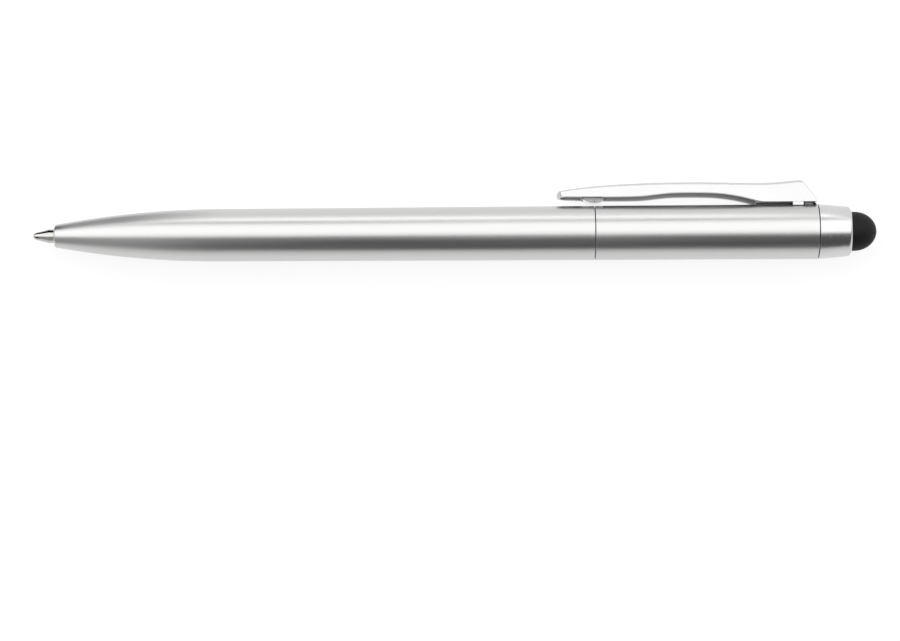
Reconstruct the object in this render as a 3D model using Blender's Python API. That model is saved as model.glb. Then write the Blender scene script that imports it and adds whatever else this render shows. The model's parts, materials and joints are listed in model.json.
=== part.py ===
"""Twist-action ballpoint pen with a rubber stylus dome, lying on a table.

Every piece is drawn about the pen's own axis. There a station is a distance behind the writing
point, x runs along the stations, y points from the axis to the clip and z points to the side.
One empty on the axis lays the finished pen down, so that its barrel and its clip touch the table.
All sizes are in metres.
"""

import math

import bmesh
import bpy
from mathutils import Vector

# Lengths along the pen
POINT_REACH = 0.0035
LOWER_LENGTH = 0.0897
UPPER_LENGTH = 0.0370
CAP_LENGTH = 0.0055
DOME_REACH = 0.0043
NOSE_LENGTH = 0.0275

# Barrels
NOSE_FACE_DIAMETER = 0.0037
NOSE_EDGE_RADIUS = 0.00045
FRONT_DIAMETER = 0.0087
SEAM_DIAMETER = 0.0090
REAR_DIAMETER = 0.0091
BARREL_BORE = 0.0081
NOSE_WALL = 0.0006
NOSE_BORE = 0.0025
NOSE_BORE_LENGTH = 0.0045
BARREL_EDGE_RADIUS = 0.00012

# Clearances
SEAM_GAP = 0.0002
PRESS_GAP = 0.00005
RUN_GAP = 0.0001
CUT_OVERRUN = 0.0004
MERGE_DISTANCE = 0.0000005

# End cap
CAP_END_DIAMETER = 0.0083
CAP_SHOULDER_RADIUS = 0.0007
CAP_BORE = 0.0075
CAP_LIP_LENGTH = 0.0008

# Stylus dome and what holds it
DOME_DIAMETER = 0.0065
DOME_ROUND_LENGTH = 0.0037
DOME_WALL = 0.0009
DOME_FLANGE_DIAMETER = 0.0073
DOME_FLANGE_LENGTH = 0.0009
COLLAR_LENGTH = 0.0006
STEM_HEAD_LENGTH = 0.0012
STEM_DIAMETER = 0.0020
STEM_LENGTH = 0.0065

# End plug
PLUG_LENGTH = 0.0085
PLUG_SKIRT_LENGTH = 0.0018
PLUG_SKIRT_WALL = 0.0008

# Refill
BALL_DIAMETER = 0.0008
SOCKET_GAP = 0.00005
BALL_SHOW_SHARE = 0.22
BALL_SEAT_DEGREES = 150.0
POINT_LENGTH = 0.0024
POINT_SHANK_DIAMETER = 0.0023
POINT_SHANK_LENGTH = 0.0071
POINT_STUB_LENGTH = 0.0025
INK_CHANNEL_DIAMETER = 0.0012
TUBE_DIAMETER = 0.0030
TUBE_BORE = 0.0022
TUBE_BEHIND_SEAM = 0.0052
TUBE_AIR_LENGTH = 0.01015
GREASE_LENGTH = 0.0040

# Nose bush and return spring
BUSH_DIAMETER = 0.0043
BUSH_BORE = 0.0032
BUSH_LENGTH = 0.0040
SPRING_WIRE = 0.00035
SPRING_DIAMETER = 0.0041
SPRING_LENGTH = 0.0120
SPRING_CURLS = 10
SPRING_COLLAR_LENGTH = 0.0007

# Twist mechanism
REFILL_TRAVEL = 0.0045
TWIST_DEGREES = 180.0
SLEEVE_DIAMETER = 0.0066
SLEEVE_BORE = 0.0052
SLEEVE_REACH = 0.0085
SLEEVE_TAIL = 0.0012
HOUSING_START = 0.0003
HOUSING_LENGTH = 0.0190
INSERT_LENGTH = 0.0095
INSERT_SETBACK = 0.0004
CARRIER_BORE = 0.0031
CARRIER_LENGTH = 0.0110
SOCKET_DEPTH = 0.0065
PIN_DIAMETER = 0.0010
PIN_BEHIND_REFILL = 0.0016
RING_WIRE = 0.00034
RING_GROOVE_WIDTH = 0.0006
RING_BEHIND_SEAM = 0.0020
SNAP_RING_THICKNESS = 0.0004
SNAP_RING_WIDTH = 0.0006
SNAP_RING_SWEEP_DEGREES = 310.0

# Clip
CLIP_LENGTH = 0.0431
CLIP_RISE = 0.00416
CLIP_WIDTH = 0.0046
CLIP_CROWN_RADIUS = 0.0046
CLIP_EDGE_RADIUS = 0.00018
CLIP_SHEET = 0.0005
CLIP_FRONT_DEPTH = 0.0007
CLIP_SLOPE_LENGTH = 0.0026
CLIP_SLOPE_DROP = 0.0035
CLIP_FOOT_LENGTH = 0.0100
FOOT_PAD_LENGTH = 0.00625
HEEL_PAD_LENGTH = 0.00245
FOOT_WIDTH = 0.0034
LEG_OVERLAP = 0.00025
LEG_INSET = 0.00006
NUB_START = 0.0040
NUB_LENGTH = 0.0038
NUB_WIDTH = 0.0028
NUB_GAP = 0.00045
TAB_LENGTH = 0.0014
TAB_WIDTH = 0.0018
TAB_DEPTH = 0.0013
TAB_SETBACK = 0.0005
TAB_GAP = 0.00015

# Outlines of the clip, as shares of its length against shares of its rise or of its width
CLIP_TOP_SHARES = (
    (0.0, 0.60),
    (0.09, 0.74),
    (0.205, 0.85),
    (0.32, 0.911),
    (0.40, 0.936),
    (0.55, 0.946),
    (0.71, 0.912),
    (0.79, 0.900),
    (0.86, 0.935),
    (0.905, 0.985),
    (0.94, 1.0),
    (1.0, 1.0),
)
CLIP_WALL_SHARES = (
    (0.0, 0.33),
    (0.17, 0.29),
    (0.32, 0.30),
    (0.38, 0.36),
    (0.44, 0.42),
    (0.55, 0.427),
    (0.63, 0.39),
    (0.71, 0.255),
    (0.78, 0.06),
    (0.80, 0.04),
    (1.0, 0.04),
)
CLIP_WIDTH_SHARES = ((0.0, 0.71), (0.14, 0.85), (0.35, 0.965), (0.6, 0.99), (1.0, 1.0))
NUB_SHARES = (
    (0.0, 1.0),
    (0.0, 0.36),
    (0.10, 0.20),
    (0.20, 0.11),
    (0.34, 0.035),
    (0.58, 0.0),
    (0.80, 0.02),
    (0.90, 0.09),
    (0.96, 0.21),
    (1.0, 0.36),
    (1.0, 1.0),
)
FOOT_MIDDLE_SHARE = 1.5
NUB_SIDE_SHARES = ((-1.0, 0.30), (-0.8, 0.10), (-0.4, 0.0), (0.4, 0.0), (0.8, 0.10), (1.0, 0.30))

# Outline of the refill's point, as shares of its length against shares of its shank's radius
POINT_SHARES = ((0.24, 0.575), (0.45, 0.65), (0.93, 0.91), (1.0, 0.93))

# How finely round forms are divided
BARREL_SIDES = 48
INNER_SIDES = 32
SMALL_SIDES = 24
BALL_SIDES = 12
BALL_RINGS = 8
NOSE_STEPS = 10
BORE_STEPS = 5
EDGE_STEPS = 3
SHOULDER_STEPS = 5
RING_STEPS = 8
SOCKET_STEPS = 6
DOME_STEPS = 8
HOLLOW_STEPS = 4
SLOT_STEPS = 24
SPRING_STEPS = 10
CLIP_STEPS = 22
CLIP_TIP_STEPS = 6
CROWN_STEPS = 8
SHARP_DEGREES = 30.0

# Stations worked out from the sizes above
NOSE_FACE = POINT_REACH
NOSE_END = NOSE_FACE + NOSE_LENGTH
SEAM = NOSE_FACE + LOWER_LENGTH
CAP_SEAM = SEAM + UPPER_LENGTH
CAP_END = CAP_SEAM + CAP_LENGTH
OVERALL_LENGTH = CAP_END + DOME_REACH
CLIP_END = CAP_SEAM - SEAM_GAP
CLIP_START = CLIP_END - CLIP_LENGTH
BUSH_START = NOSE_FACE + NOSE_BORE_LENGTH + RUN_GAP
BUSH_END = BUSH_START + BUSH_LENGTH
SPRING_START = BUSH_END + RUN_GAP
SPRING_END = SPRING_START + SPRING_LENGTH
TUBE_START = POINT_LENGTH + POINT_SHANK_LENGTH + PRESS_GAP
TUBE_END = SEAM + TUBE_BEHIND_SEAM
PIN_STATION = TUBE_END + RUN_GAP + PIN_BEHIND_REFILL
CARRIER_START = TUBE_END + RUN_GAP - SOCKET_DEPTH
CARRIER_END = CARRIER_START + CARRIER_LENGTH
SLEEVE_START = SEAM - SLEEVE_REACH
HOUSING_FACE = SEAM + HOUSING_START
HOUSING_END = HOUSING_FACE + HOUSING_LENGTH
SNAP_RING_START = HOUSING_END + RUN_GAP
SLEEVE_END = SNAP_RING_START + SNAP_RING_THICKNESS + SLEEVE_TAIL
RING_STATION = SEAM + RING_BEHIND_SEAM
INSERT_END = SEAM - INSERT_SETBACK
INSERT_START = INSERT_END - INSERT_LENGTH
FLANGE_END = CAP_END - CAP_LIP_LENGTH - RUN_GAP
FLANGE_START = FLANGE_END - DOME_FLANGE_LENGTH
COLLAR_END = FLANGE_START - RUN_GAP
COLLAR_START = COLLAR_END - COLLAR_LENGTH
PLUG_END = COLLAR_START - RUN_GAP
PLUG_START = CAP_SEAM - PLUG_LENGTH
STEM_HEAD_END = FLANGE_END + STEM_HEAD_LENGTH
DOME_ROUND_START = OVERALL_LENGTH - DOME_ROUND_LENGTH
TAB_END = CLIP_END - TAB_SETBACK
TAB_START = TAB_END - TAB_LENGTH
CLIP_PIVOT = TAB_END

# Radii worked out from the sizes above
BARREL_BORE_RADIUS = BARREL_BORE / 2
HOUSING_RADIUS = BARREL_BORE_RADIUS - PRESS_GAP
SLEEVE_RADIUS = SLEEVE_DIAMETER / 2
HOUSING_BORE_RADIUS = SLEEVE_RADIUS + RUN_GAP
CARRIER_RADIUS = SLEEVE_BORE / 2 - RUN_GAP
PIN_REACH = HOUSING_RADIUS - PRESS_GAP
RING_GROOVE_RADIUS = HOUSING_BORE_RADIUS - RUN_GAP - RING_WIRE - PRESS_GAP
CAP_BORE_RADIUS = CAP_BORE / 2
PLUG_RADIUS = HOUSING_RADIUS
PLUG_REAR_RADIUS = CAP_BORE_RADIUS - PRESS_GAP
DOME_RADIUS = DOME_DIAMETER / 2
DOME_HOLLOW_RADIUS = DOME_RADIUS - DOME_WALL
STEM_RADIUS = STEM_DIAMETER / 2
TUBE_RADIUS = TUBE_DIAMETER / 2
TUBE_BORE_RADIUS = TUBE_BORE / 2
BALL_RADIUS = BALL_DIAMETER / 2
SPRING_COIL_RADIUS = (SPRING_DIAMETER - SPRING_WIRE) / 2
CLIP_BASE = SEAM_DIAMETER / 2
CLIP_TOP = CLIP_BASE + CLIP_RISE
CLIP_TIP_RADIUS = CLIP_WIDTH / 2 * CLIP_WIDTH_SHARES[0][1]


def clear_scene():
    for thing in list(bpy.data.objects):
        bpy.data.objects.remove(thing)


def finish(name, colour, metallic, roughness):
    """A plain Principled material."""
    material = bpy.data.materials.new(name)
    material.use_nodes = True
    shader = material.node_tree.nodes["Principled BSDF"]
    shader.inputs["Base Color"].default_value = (*colour, 1.0)
    shader.inputs["Metallic"].default_value = metallic
    shader.inputs["Roughness"].default_value = roughness
    return material


def at(station):
    """The x of a station on the pen's axis."""
    return station - OVERALL_LENGTH / 2


def barrel_radius(station):
    """The barrels' outer radius: an arc over the nose, then two slight straight tapers."""
    front = FRONT_DIAMETER / 2
    seam = SEAM_DIAMETER / 2
    if station < NOSE_END:
        drop = front - NOSE_FACE_DIAMETER / 2
        arc = (NOSE_LENGTH**2 + drop**2) / (2 * drop)
        return front - arc + math.sqrt(arc**2 - (NOSE_END - station) ** 2)
    if station < SEAM:
        return front + (seam - front) * (station - NOSE_END) / (SEAM - NOSE_END)
    return seam + (REAR_DIAMETER / 2 - seam) * (station - SEAM) / UPPER_LENGTH


def front_corner(station, radius, fillet, steps):
    """A quarter-round outer corner of an outline that faces the point, from its face to its side."""
    points = []
    for step in range(steps + 1):
        angle = math.pi / 2 * step / steps
        points.append((station + fillet * (1 - math.cos(angle)), radius - fillet * (1 - math.sin(angle))))
    return points


def rear_corner(station, radius, fillet, steps):
    """The same corner on the end that faces the dome, from its side to its face."""
    mirrored = front_corner(0, radius, fillet, steps)
    return [(station - along, out) for along, out in reversed(mirrored)]


def add_object(name, mesh_data, material, frame, origin=(0, 0, 0)):
    """Puts a finished mesh in the scene, under the pen's axis, with its origin at a given place."""
    bmesh.ops.remove_doubles(mesh_data, verts=mesh_data.verts, dist=MERGE_DISTANCE)
    bmesh.ops.recalc_face_normals(mesh_data, faces=mesh_data.faces)
    bmesh.ops.translate(mesh_data, verts=mesh_data.verts, vec=-Vector(origin))
    mesh = bpy.data.meshes.new(name)
    mesh_data.to_mesh(mesh)
    mesh_data.free()
    mesh.shade_smooth()
    mesh.set_sharp_from_angle(angle=math.radians(SHARP_DEGREES))
    mesh.materials.append(material)
    piece = bpy.data.objects.new(name, mesh)
    piece.location = origin
    piece.parent = frame
    bpy.context.collection.objects.link(piece)
    return piece


def as_cutter(piece):
    """Marks a solid that only shapes another one."""
    piece.hide_render = True
    piece.display_type = "WIRE"
    return piece


def shape_with(piece, tool, operation):
    change = piece.modifiers.new(tool.name, "BOOLEAN")
    change.operation = operation
    change.solver = "EXACT"
    change.object = as_cutter(tool)


def turned_mesh(outline, sides, sweep_degrees=360.0):
    """Spins an outline of (station, radius) points about the pen's axis."""
    mesh = bmesh.new()
    corners = [mesh.verts.new((at(station), 0, radius)) for station, radius in outline]
    pairs = list(zip(corners, corners[1:]))
    if outline[0][1] or outline[-1][1]:
        pairs.append((corners[-1], corners[0]))
    edges = [mesh.edges.new(pair) for pair in pairs]
    whole = sweep_degrees >= 360.0
    bmesh.ops.spin(
        mesh,
        geom=corners + edges,
        cent=(0, 0, 0),
        axis=(1, 0, 0),
        angle=math.radians(sweep_degrees),
        steps=sides,
        use_merge=whole,
    )
    if not whole:
        open_edges = [edge for edge in mesh.edges if len(edge.link_faces) == 1]
        bmesh.ops.holes_fill(mesh, edges=open_edges)
    return mesh


def turned(name, outline, sides, material, frame):
    return add_object(name, turned_mesh(outline, sides), material, frame)


def lofted_mesh(sections):
    """A closed body through sections of equally many points, with flat ends."""
    mesh = bmesh.new()
    rings = [[mesh.verts.new(point) for point in section] for section in sections]
    for ring, following in zip(rings, rings[1:]):
        for index in range(len(ring)):
            behind = index - 1
            mesh.faces.new((ring[behind], ring[index], following[index], following[behind]))
    mesh.faces.new(rings[0])
    mesh.faces.new(reversed(rings[-1]))
    return mesh


def block(name, stations, heights, half_width, material, frame, origin=(0, 0, 0)):
    """A straight block between two stations, two heights and the two sides."""
    sections = []
    low, high = heights
    for station in stations:
        x = at(station)
        section = ((x, low, -half_width), (x, high, -half_width), (x, high, half_width), (x, low, half_width))
        sections.append(section)
    return add_object(name, lofted_mesh(sections), material, frame, origin)


def cross_rod(name, station, radius, reach, material, frame):
    """A round rod across the pen, along the clip's direction, centred on the axis."""
    sections = []
    for height in (-reach, reach):
        turn = [2 * math.pi * step / SMALL_SIDES for step in range(SMALL_SIDES)]
        sections.append([(at(station) + radius * math.cos(a), height, radius * math.sin(a)) for a in turn])
    return add_object(name, lofted_mesh(sections), material, frame)


def smooth_line(points, share):
    """The value at a share on a smooth line through hand-chosen points."""
    last = len(points) - 1
    slopes = []
    for index in range(len(points)):
        before, after = points[max(index - 1, 0)], points[min(index + 1, last)]
        slopes.append((after[1] - before[1]) / (after[0] - before[0]))
    for index in range(last):
        (x0, y0), (x1, y1) = points[index], points[index + 1]
        if share <= x1 or index == last - 1:
            span = x1 - x0
            t = (share - x0) / span
            start = y0 * (1 + 2 * t) * (1 - t) ** 2 + y1 * t**2 * (3 - 2 * t)
            bend = slopes[index] * t * (1 - t) ** 2 + slopes[index + 1] * t**2 * (t - 1)
            return start + bend * span


def make_lower_barrel(frame, silver):
    """The front barrel: a drawn tube with its nose, bored for the point, the bush and the spring."""
    edge = NOSE_FACE + NOSE_EDGE_RADIUS
    end = SEAM - SEAM_GAP / 2
    bore = NOSE_BORE / 2
    bush = BUSH_DIAMETER / 2 + PRESS_GAP
    outline = [(NOSE_FACE, bore)]
    outline += front_corner(NOSE_FACE, barrel_radius(edge), NOSE_EDGE_RADIUS, SHOULDER_STEPS)
    for step in range(1, NOSE_STEPS + 1):
        station = edge + (NOSE_END - edge) * step / NOSE_STEPS
        outline.append((station, barrel_radius(station)))
    outline += rear_corner(end, barrel_radius(end), BARREL_EDGE_RADIUS, EDGE_STEPS)
    outline.append((end, BARREL_BORE_RADIUS))
    for step in range(BORE_STEPS + 1):
        station = NOSE_END - (NOSE_END - BUSH_END) * step / BORE_STEPS
        outline.append((station, min(BARREL_BORE_RADIUS, barrel_radius(station) - NOSE_WALL)))
    outline += [(BUSH_END, bush), (BUSH_START - RUN_GAP, bush), (BUSH_START - RUN_GAP, bore)]
    return turned("lower_barrel", outline, BARREL_SIDES, silver, frame)


def make_nose_bush(frame, material):
    """Seats the spring and guides the refill's tube."""
    outer = BUSH_DIAMETER / 2
    inner = BUSH_BORE / 2
    outline = [(BUSH_START, inner), (BUSH_START, outer), (BUSH_END, outer), (BUSH_END, inner)]
    turned("nose_bush", outline, INNER_SIDES, material, frame)


def make_return_spring(frame, material):
    """A wound wire whose end curls lie close, as ground spring ends do."""
    turns = SPRING_CURLS * SPRING_STEPS
    usable = SPRING_LENGTH - SPRING_WIRE - 2 * RUN_GAP
    points = []
    for step in range(turns + 1):
        angle = 2 * math.pi * step / SPRING_STEPS
        x = at(SPRING_START) + SPRING_WIRE / 2 + RUN_GAP + usable * step / turns
        place = (x, SPRING_COIL_RADIUS * math.cos(angle), SPRING_COIL_RADIUS * math.sin(angle))
        points.append(Vector(place))
    curve = bpy.data.curves.new("return_spring", "CURVE")
    curve.dimensions = "3D"
    curve.bevel_depth = SPRING_WIRE / 2
    curve.bevel_resolution = 1
    curve.use_fill_caps = True
    spline = curve.splines.new("POLY")
    spline.points.add(len(points) - 1)
    for spot, place in zip(spline.points, points):
        spot.co = (*place, 1.0)
    curve.materials.append(material)
    spring = bpy.data.objects.new("return_spring", curve)
    spring.parent = frame
    bpy.context.collection.objects.link(spring)
    apart = [
        (one - other).length
        for index, one in enumerate(points)
        for other in points[index + SPRING_STEPS // 2 :]
    ]
    print("return_spring least gap to itself (m):", round(min(apart) - SPRING_WIRE, 6))


def make_writing_ball(frame, material):
    centre = (at(BALL_RADIUS), 0, 0)
    mesh = bmesh.new()
    bmesh.ops.create_uvsphere(mesh, u_segments=BALL_SIDES, v_segments=BALL_RINGS, radius=BALL_RADIUS)
    bmesh.ops.translate(mesh, verts=mesh.verts, vec=centre)
    add_object("writing_ball", mesh, material, frame, centre)


def make_refill_tip(frame, material):
    """The point holder: a turned cone whose lip closes over the ball, with the ink channel behind it."""
    shank = POINT_SHANK_DIAMETER / 2
    socket = BALL_RADIUS + SOCKET_GAP
    lip_angle = math.acos(1 - 2 * BALL_SHOW_SHARE)
    feed_angle = math.radians(BALL_SEAT_DEGREES)
    outline = []
    for step in range(SOCKET_STEPS + 1):
        angle = feed_angle + (lip_angle - feed_angle) * step / SOCKET_STEPS
        outline.append((BALL_RADIUS - socket * math.cos(angle), socket * math.sin(angle)))
    outline.append((outline[-1][0], outline[-1][1] + SOCKET_GAP))
    outline += [(POINT_LENGTH * along, shank * out) for along, out in POINT_SHARES]
    shank_end = POINT_LENGTH + POINT_SHANK_LENGTH
    stub = TUBE_BORE_RADIUS - PRESS_GAP
    channel = INK_CHANNEL_DIAMETER / 2
    outline += [(POINT_LENGTH, shank), (shank_end, shank), (shank_end, stub)]
    outline += [(shank_end + POINT_STUB_LENGTH, stub), (shank_end + POINT_STUB_LENGTH, channel)]
    outline += [(POINT_LENGTH, channel), (POINT_LENGTH - channel, outline[0][1])]
    turned("refill_tip", outline, INNER_SIDES, material, frame)


def make_refill_tube(frame, material):
    """The ink tube, with the collar that the return spring bears on."""
    collar_start = SPRING_END + RUN_GAP
    collar_end = collar_start + SPRING_COLLAR_LENGTH
    collar = (SPRING_DIAMETER - SPRING_WIRE) / 2
    outline = [
        (TUBE_START, TUBE_BORE_RADIUS),
        (TUBE_START, TUBE_RADIUS),
        (collar_start, TUBE_RADIUS),
        (collar_start, collar),
        (collar_end, collar),
        (collar_end, TUBE_RADIUS),
        (TUBE_END, TUBE_RADIUS),
        (TUBE_END, TUBE_BORE_RADIUS),
    ]
    turned("refill_tube", outline, INNER_SIDES, material, frame)


def make_fillings(frame, ink, grease):
    """The ink behind the point holder's stub, and the grease that follows it."""
    radius = TUBE_BORE_RADIUS - PRESS_GAP
    end = TUBE_END - TUBE_AIR_LENGTH
    start = end - GREASE_LENGTH
    turned("grease_plug", [(start, 0), (start, radius), (end, radius), (end, 0)], SMALL_SIDES, grease, frame)
    end = start - RUN_GAP
    start = TUBE_START + POINT_STUB_LENGTH + RUN_GAP
    turned("ink_column", [(start, 0), (start, radius), (end, radius), (end, 0)], SMALL_SIDES, ink, frame)


def make_refill_carrier(frame, material):
    """The plunger that holds the refill's rear end, drilled across for the pin."""
    bore = CARRIER_BORE / 2
    floor = CARRIER_START + SOCKET_DEPTH
    outline = [
        (floor, 0),
        (floor, bore),
        (CARRIER_START, bore),
        (CARRIER_START, CARRIER_RADIUS),
        (CARRIER_END, CARRIER_RADIUS),
        (CARRIER_END, 0),
    ]
    carrier = turned("refill_carrier", outline, INNER_SIDES, material, frame)
    hole = cross_rod("pin_hole", PIN_STATION, PIN_DIAMETER / 2 + PRESS_GAP, SLEEVE_RADIUS, material, frame)
    shape_with(carrier, hole, "DIFFERENCE")


def make_cross_pin(frame, material):
    cross_rod("cross_pin", PIN_STATION, PIN_DIAMETER / 2, PIN_REACH, material, frame)


def make_drive_sleeve(frame, material):
    """Turns with the front barrel; the pin slides in its two straight slots."""
    bore = SLEEVE_BORE / 2
    groove = RING_GROOVE_WIDTH / 2
    snap_end = SNAP_RING_START + SNAP_RING_THICKNESS + RUN_GAP
    outline = [
        (SLEEVE_START, bore),
        (SLEEVE_START, SLEEVE_RADIUS),
        (RING_STATION - groove, SLEEVE_RADIUS),
        (RING_STATION - groove, RING_GROOVE_RADIUS),
        (RING_STATION + groove, RING_GROOVE_RADIUS),
        (RING_STATION + groove, SLEEVE_RADIUS),
        (HOUSING_END, SLEEVE_RADIUS),
        (HOUSING_END, RING_GROOVE_RADIUS),
        (snap_end, RING_GROOVE_RADIUS),
        (snap_end, SLEEVE_RADIUS),
        (SLEEVE_END, SLEEVE_RADIUS),
        (SLEEVE_END, bore),
    ]
    sleeve = turned("drive_sleeve", outline, INNER_SIDES, material, frame)
    half = PIN_DIAMETER / 2 + RUN_GAP
    stations = (PIN_STATION - half, PIN_STATION + REFILL_TRAVEL + half)
    reach = SLEEVE_RADIUS + CUT_OVERRUN
    slot = block("pin_slot", stations, (-reach, reach), half, material, frame)
    shape_with(sleeve, slot, "DIFFERENCE")


def helical_slot(name, start_angle, material, frame):
    """The bar that cuts one cam slot: it climbs by the refill's travel over the twist."""
    half = PIN_DIAMETER / 2 + RUN_GAP
    inner = SLEEVE_RADIUS - CUT_OVERRUN
    outer = HOUSING_RADIUS + CUT_OVERRUN
    overrun = half / HOUSING_BORE_RADIUS
    twist = math.radians(TWIST_DEGREES)
    climb = REFILL_TRAVEL / twist
    half_axial = half * math.hypot(1, climb / HOUSING_BORE_RADIUS)
    sections = []
    for step in range(SLOT_STEPS + 1):
        turn = -overrun + (twist + 2 * overrun) * step / SLOT_STEPS
        x = at(PIN_STATION) + climb * turn
        angle = start_angle + turn
        out = Vector((0, math.cos(angle), math.sin(angle)))
        section = []
        for radius, side in ((inner, -1), (outer, -1), (outer, 1), (inner, 1)):
            section.append(out * radius + Vector((x + side * half_axial, 0, 0)))
        sections.append(section)
    return add_object(name, lofted_mesh(sections), material, frame)


def make_mechanism_housing(frame, material):
    """Pressed into the rear barrel; its two helical cam slots drive the pin along."""
    outline = [
        (HOUSING_FACE, HOUSING_BORE_RADIUS),
        (HOUSING_FACE, HOUSING_RADIUS),
        (HOUSING_END, HOUSING_RADIUS),
        (HOUSING_END, HOUSING_BORE_RADIUS),
    ]
    housing = turned("mechanism_housing", outline, INNER_SIDES, material, frame)
    for name, start_angle in (("cam_slot_1", 0), ("cam_slot_2", math.pi)):
        shape_with(housing, helical_slot(name, start_angle, material, frame), "DIFFERENCE")


def make_friction_ring(frame, material):
    """A rubber ring in the sleeve's groove."""
    half = RING_WIRE / 2
    centre = RING_GROOVE_RADIUS + PRESS_GAP + half
    outline = []
    for step in range(RING_STEPS):
        angle = 2 * math.pi * step / RING_STEPS
        outline.append((RING_STATION + half * math.cos(angle), centre + half * math.sin(angle)))
    turned("friction_ring", outline, INNER_SIDES, material, frame)


def make_retaining_ring(frame, material):
    """An open snap ring behind the housing, in the sleeve's rear groove."""
    inner = RING_GROOVE_RADIUS + PRESS_GAP
    outer = inner + SNAP_RING_WIDTH
    start = SNAP_RING_START
    end = start + SNAP_RING_THICKNESS
    outline = [(start, inner), (start, outer), (end, outer), (end, inner)]
    mesh = turned_mesh(outline, INNER_SIDES, SNAP_RING_SWEEP_DEGREES)
    add_object("retaining_ring", mesh, material, frame)


def make_barrel_insert(frame, material):
    """The sleeve in the front barrel's rear end that the mechanism screws into."""
    inner = SLEEVE_RADIUS + RUN_GAP
    outer = BARREL_BORE_RADIUS - PRESS_GAP
    outline = [(INSERT_START, inner), (INSERT_START, outer), (INSERT_END, outer), (INSERT_END, inner)]
    turned("barrel_insert", outline, INNER_SIDES, material, frame)


def make_upper_barrel(frame, silver):
    """The rear barrel: a plain tube with a slot for the clip's tab."""
    start = SEAM + SEAM_GAP / 2
    end = CAP_SEAM - SEAM_GAP / 2
    outline = [(start, BARREL_BORE_RADIUS)]
    outline += front_corner(start, barrel_radius(start), BARREL_EDGE_RADIUS, EDGE_STEPS)
    outline += rear_corner(end, barrel_radius(end), BARREL_EDGE_RADIUS, EDGE_STEPS)
    outline.append((end, BARREL_BORE_RADIUS))
    barrel = turned("upper_barrel", outline, BARREL_SIDES, silver, frame)
    stations = (TAB_START - TAB_GAP, TAB_END + TAB_GAP)
    heights = (BARREL_BORE_RADIUS - CUT_OVERRUN, REAR_DIAMETER / 2 + CUT_OVERRUN)
    slot = block("tab_slot", stations, heights, TAB_WIDTH / 2 + TAB_GAP, silver, frame)
    shape_with(barrel, slot, "DIFFERENCE")


def make_end_plug(frame, material):
    """The moulded plug in the joint of rear barrel and end cap, with a pocket for the clip's tab."""
    step = CAP_SEAM
    bore = STEM_RADIUS + RUN_GAP
    hollow = PLUG_RADIUS - PLUG_SKIRT_WALL
    skirt_end = PLUG_START + PLUG_SKIRT_LENGTH
    outline = [
        (PLUG_START, hollow),
        (PLUG_START, PLUG_RADIUS),
        (step, PLUG_RADIUS),
        (step, PLUG_REAR_RADIUS),
        (PLUG_END, PLUG_REAR_RADIUS),
        (PLUG_END, bore),
        (skirt_end, bore),
        (skirt_end, hollow),
    ]
    plug = turned("end_plug", outline, INNER_SIDES, material, frame)
    floor = BARREL_BORE_RADIUS - TAB_DEPTH
    stations = (TAB_START - TAB_GAP, TAB_END + TAB_GAP)
    heights = (floor, BARREL_BORE_RADIUS + CUT_OVERRUN)
    pocket = block("tab_pocket", stations, heights, TAB_WIDTH / 2 + TAB_GAP, material, frame)
    shape_with(plug, pocket, "DIFFERENCE")


def make_end_cap(frame, silver):
    """The short cap behind the rear barrel; its lip holds the dome's flange."""
    start = CAP_SEAM + SEAM_GAP / 2
    front = REAR_DIAMETER / 2
    back = CAP_END_DIAMETER / 2
    lip = DOME_RADIUS + RUN_GAP
    lip_start = CAP_END - CAP_LIP_LENGTH
    outline = [(start, CAP_BORE_RADIUS)]
    outline += front_corner(start, front, BARREL_EDGE_RADIUS, EDGE_STEPS)
    outline += rear_corner(CAP_END, back, CAP_SHOULDER_RADIUS, SHOULDER_STEPS)
    outline += [(CAP_END, lip), (lip_start, lip), (lip_start, CAP_BORE_RADIUS)]
    turned("end_cap", outline, BARREL_SIDES, silver, frame)


def dome_arc(radius, length, steps):
    """A quarter of an ellipse from the dome's side to its pole."""
    points = []
    for step in range(steps):
        angle = math.pi / 2 * step / steps
        points.append((DOME_ROUND_START + length * math.sin(angle), radius * math.cos(angle)))
    points.append((DOME_ROUND_START + length, 0))
    return points


def make_stylus_tip(frame, rubber):
    """The hollow rubber dome, with the flange that the cap's lip holds."""
    flange = DOME_FLANGE_DIAMETER / 2
    outline = dome_arc(DOME_HOLLOW_RADIUS, DOME_ROUND_LENGTH - DOME_WALL, HOLLOW_STEPS)
    outline.reverse()
    outline += [(FLANGE_START, DOME_HOLLOW_RADIUS), (FLANGE_START, flange)]
    outline += [(FLANGE_END, flange), (FLANGE_END, DOME_RADIUS)]
    outline += dome_arc(DOME_RADIUS, DOME_ROUND_LENGTH, DOME_STEPS)
    turned("stylus_tip", outline, BARREL_SIDES, rubber, frame)


def make_stylus_stem(frame, material):
    """The metal stem whose head backs the dome and whose shank sits in the plug."""
    head = DOME_HOLLOW_RADIUS - RUN_GAP
    head_start = STEM_HEAD_END - STEM_HEAD_LENGTH
    outline = [
        (STEM_HEAD_END - STEM_LENGTH, 0),
        (STEM_HEAD_END - STEM_LENGTH, STEM_RADIUS),
        (head_start, STEM_RADIUS),
        (head_start, head),
        (STEM_HEAD_END, head),
        (STEM_HEAD_END, 0),
    ]
    turned("stylus_stem", outline, INNER_SIDES, material, frame)


def make_stylus_collar(frame, material):
    """The ring that clamps the dome's flange against the cap's lip."""
    outer = PLUG_REAR_RADIUS
    inner = STEM_RADIUS + RUN_GAP
    outline = [(COLLAR_START, inner), (COLLAR_START, outer), (COLLAR_END, outer), (COLLAR_END, inner)]
    turned("stylus_collar", outline, INNER_SIDES, material, frame)


def clip_height(share):
    return CLIP_BASE + CLIP_RISE * smooth_line(CLIP_TOP_SHARES, share)


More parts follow.
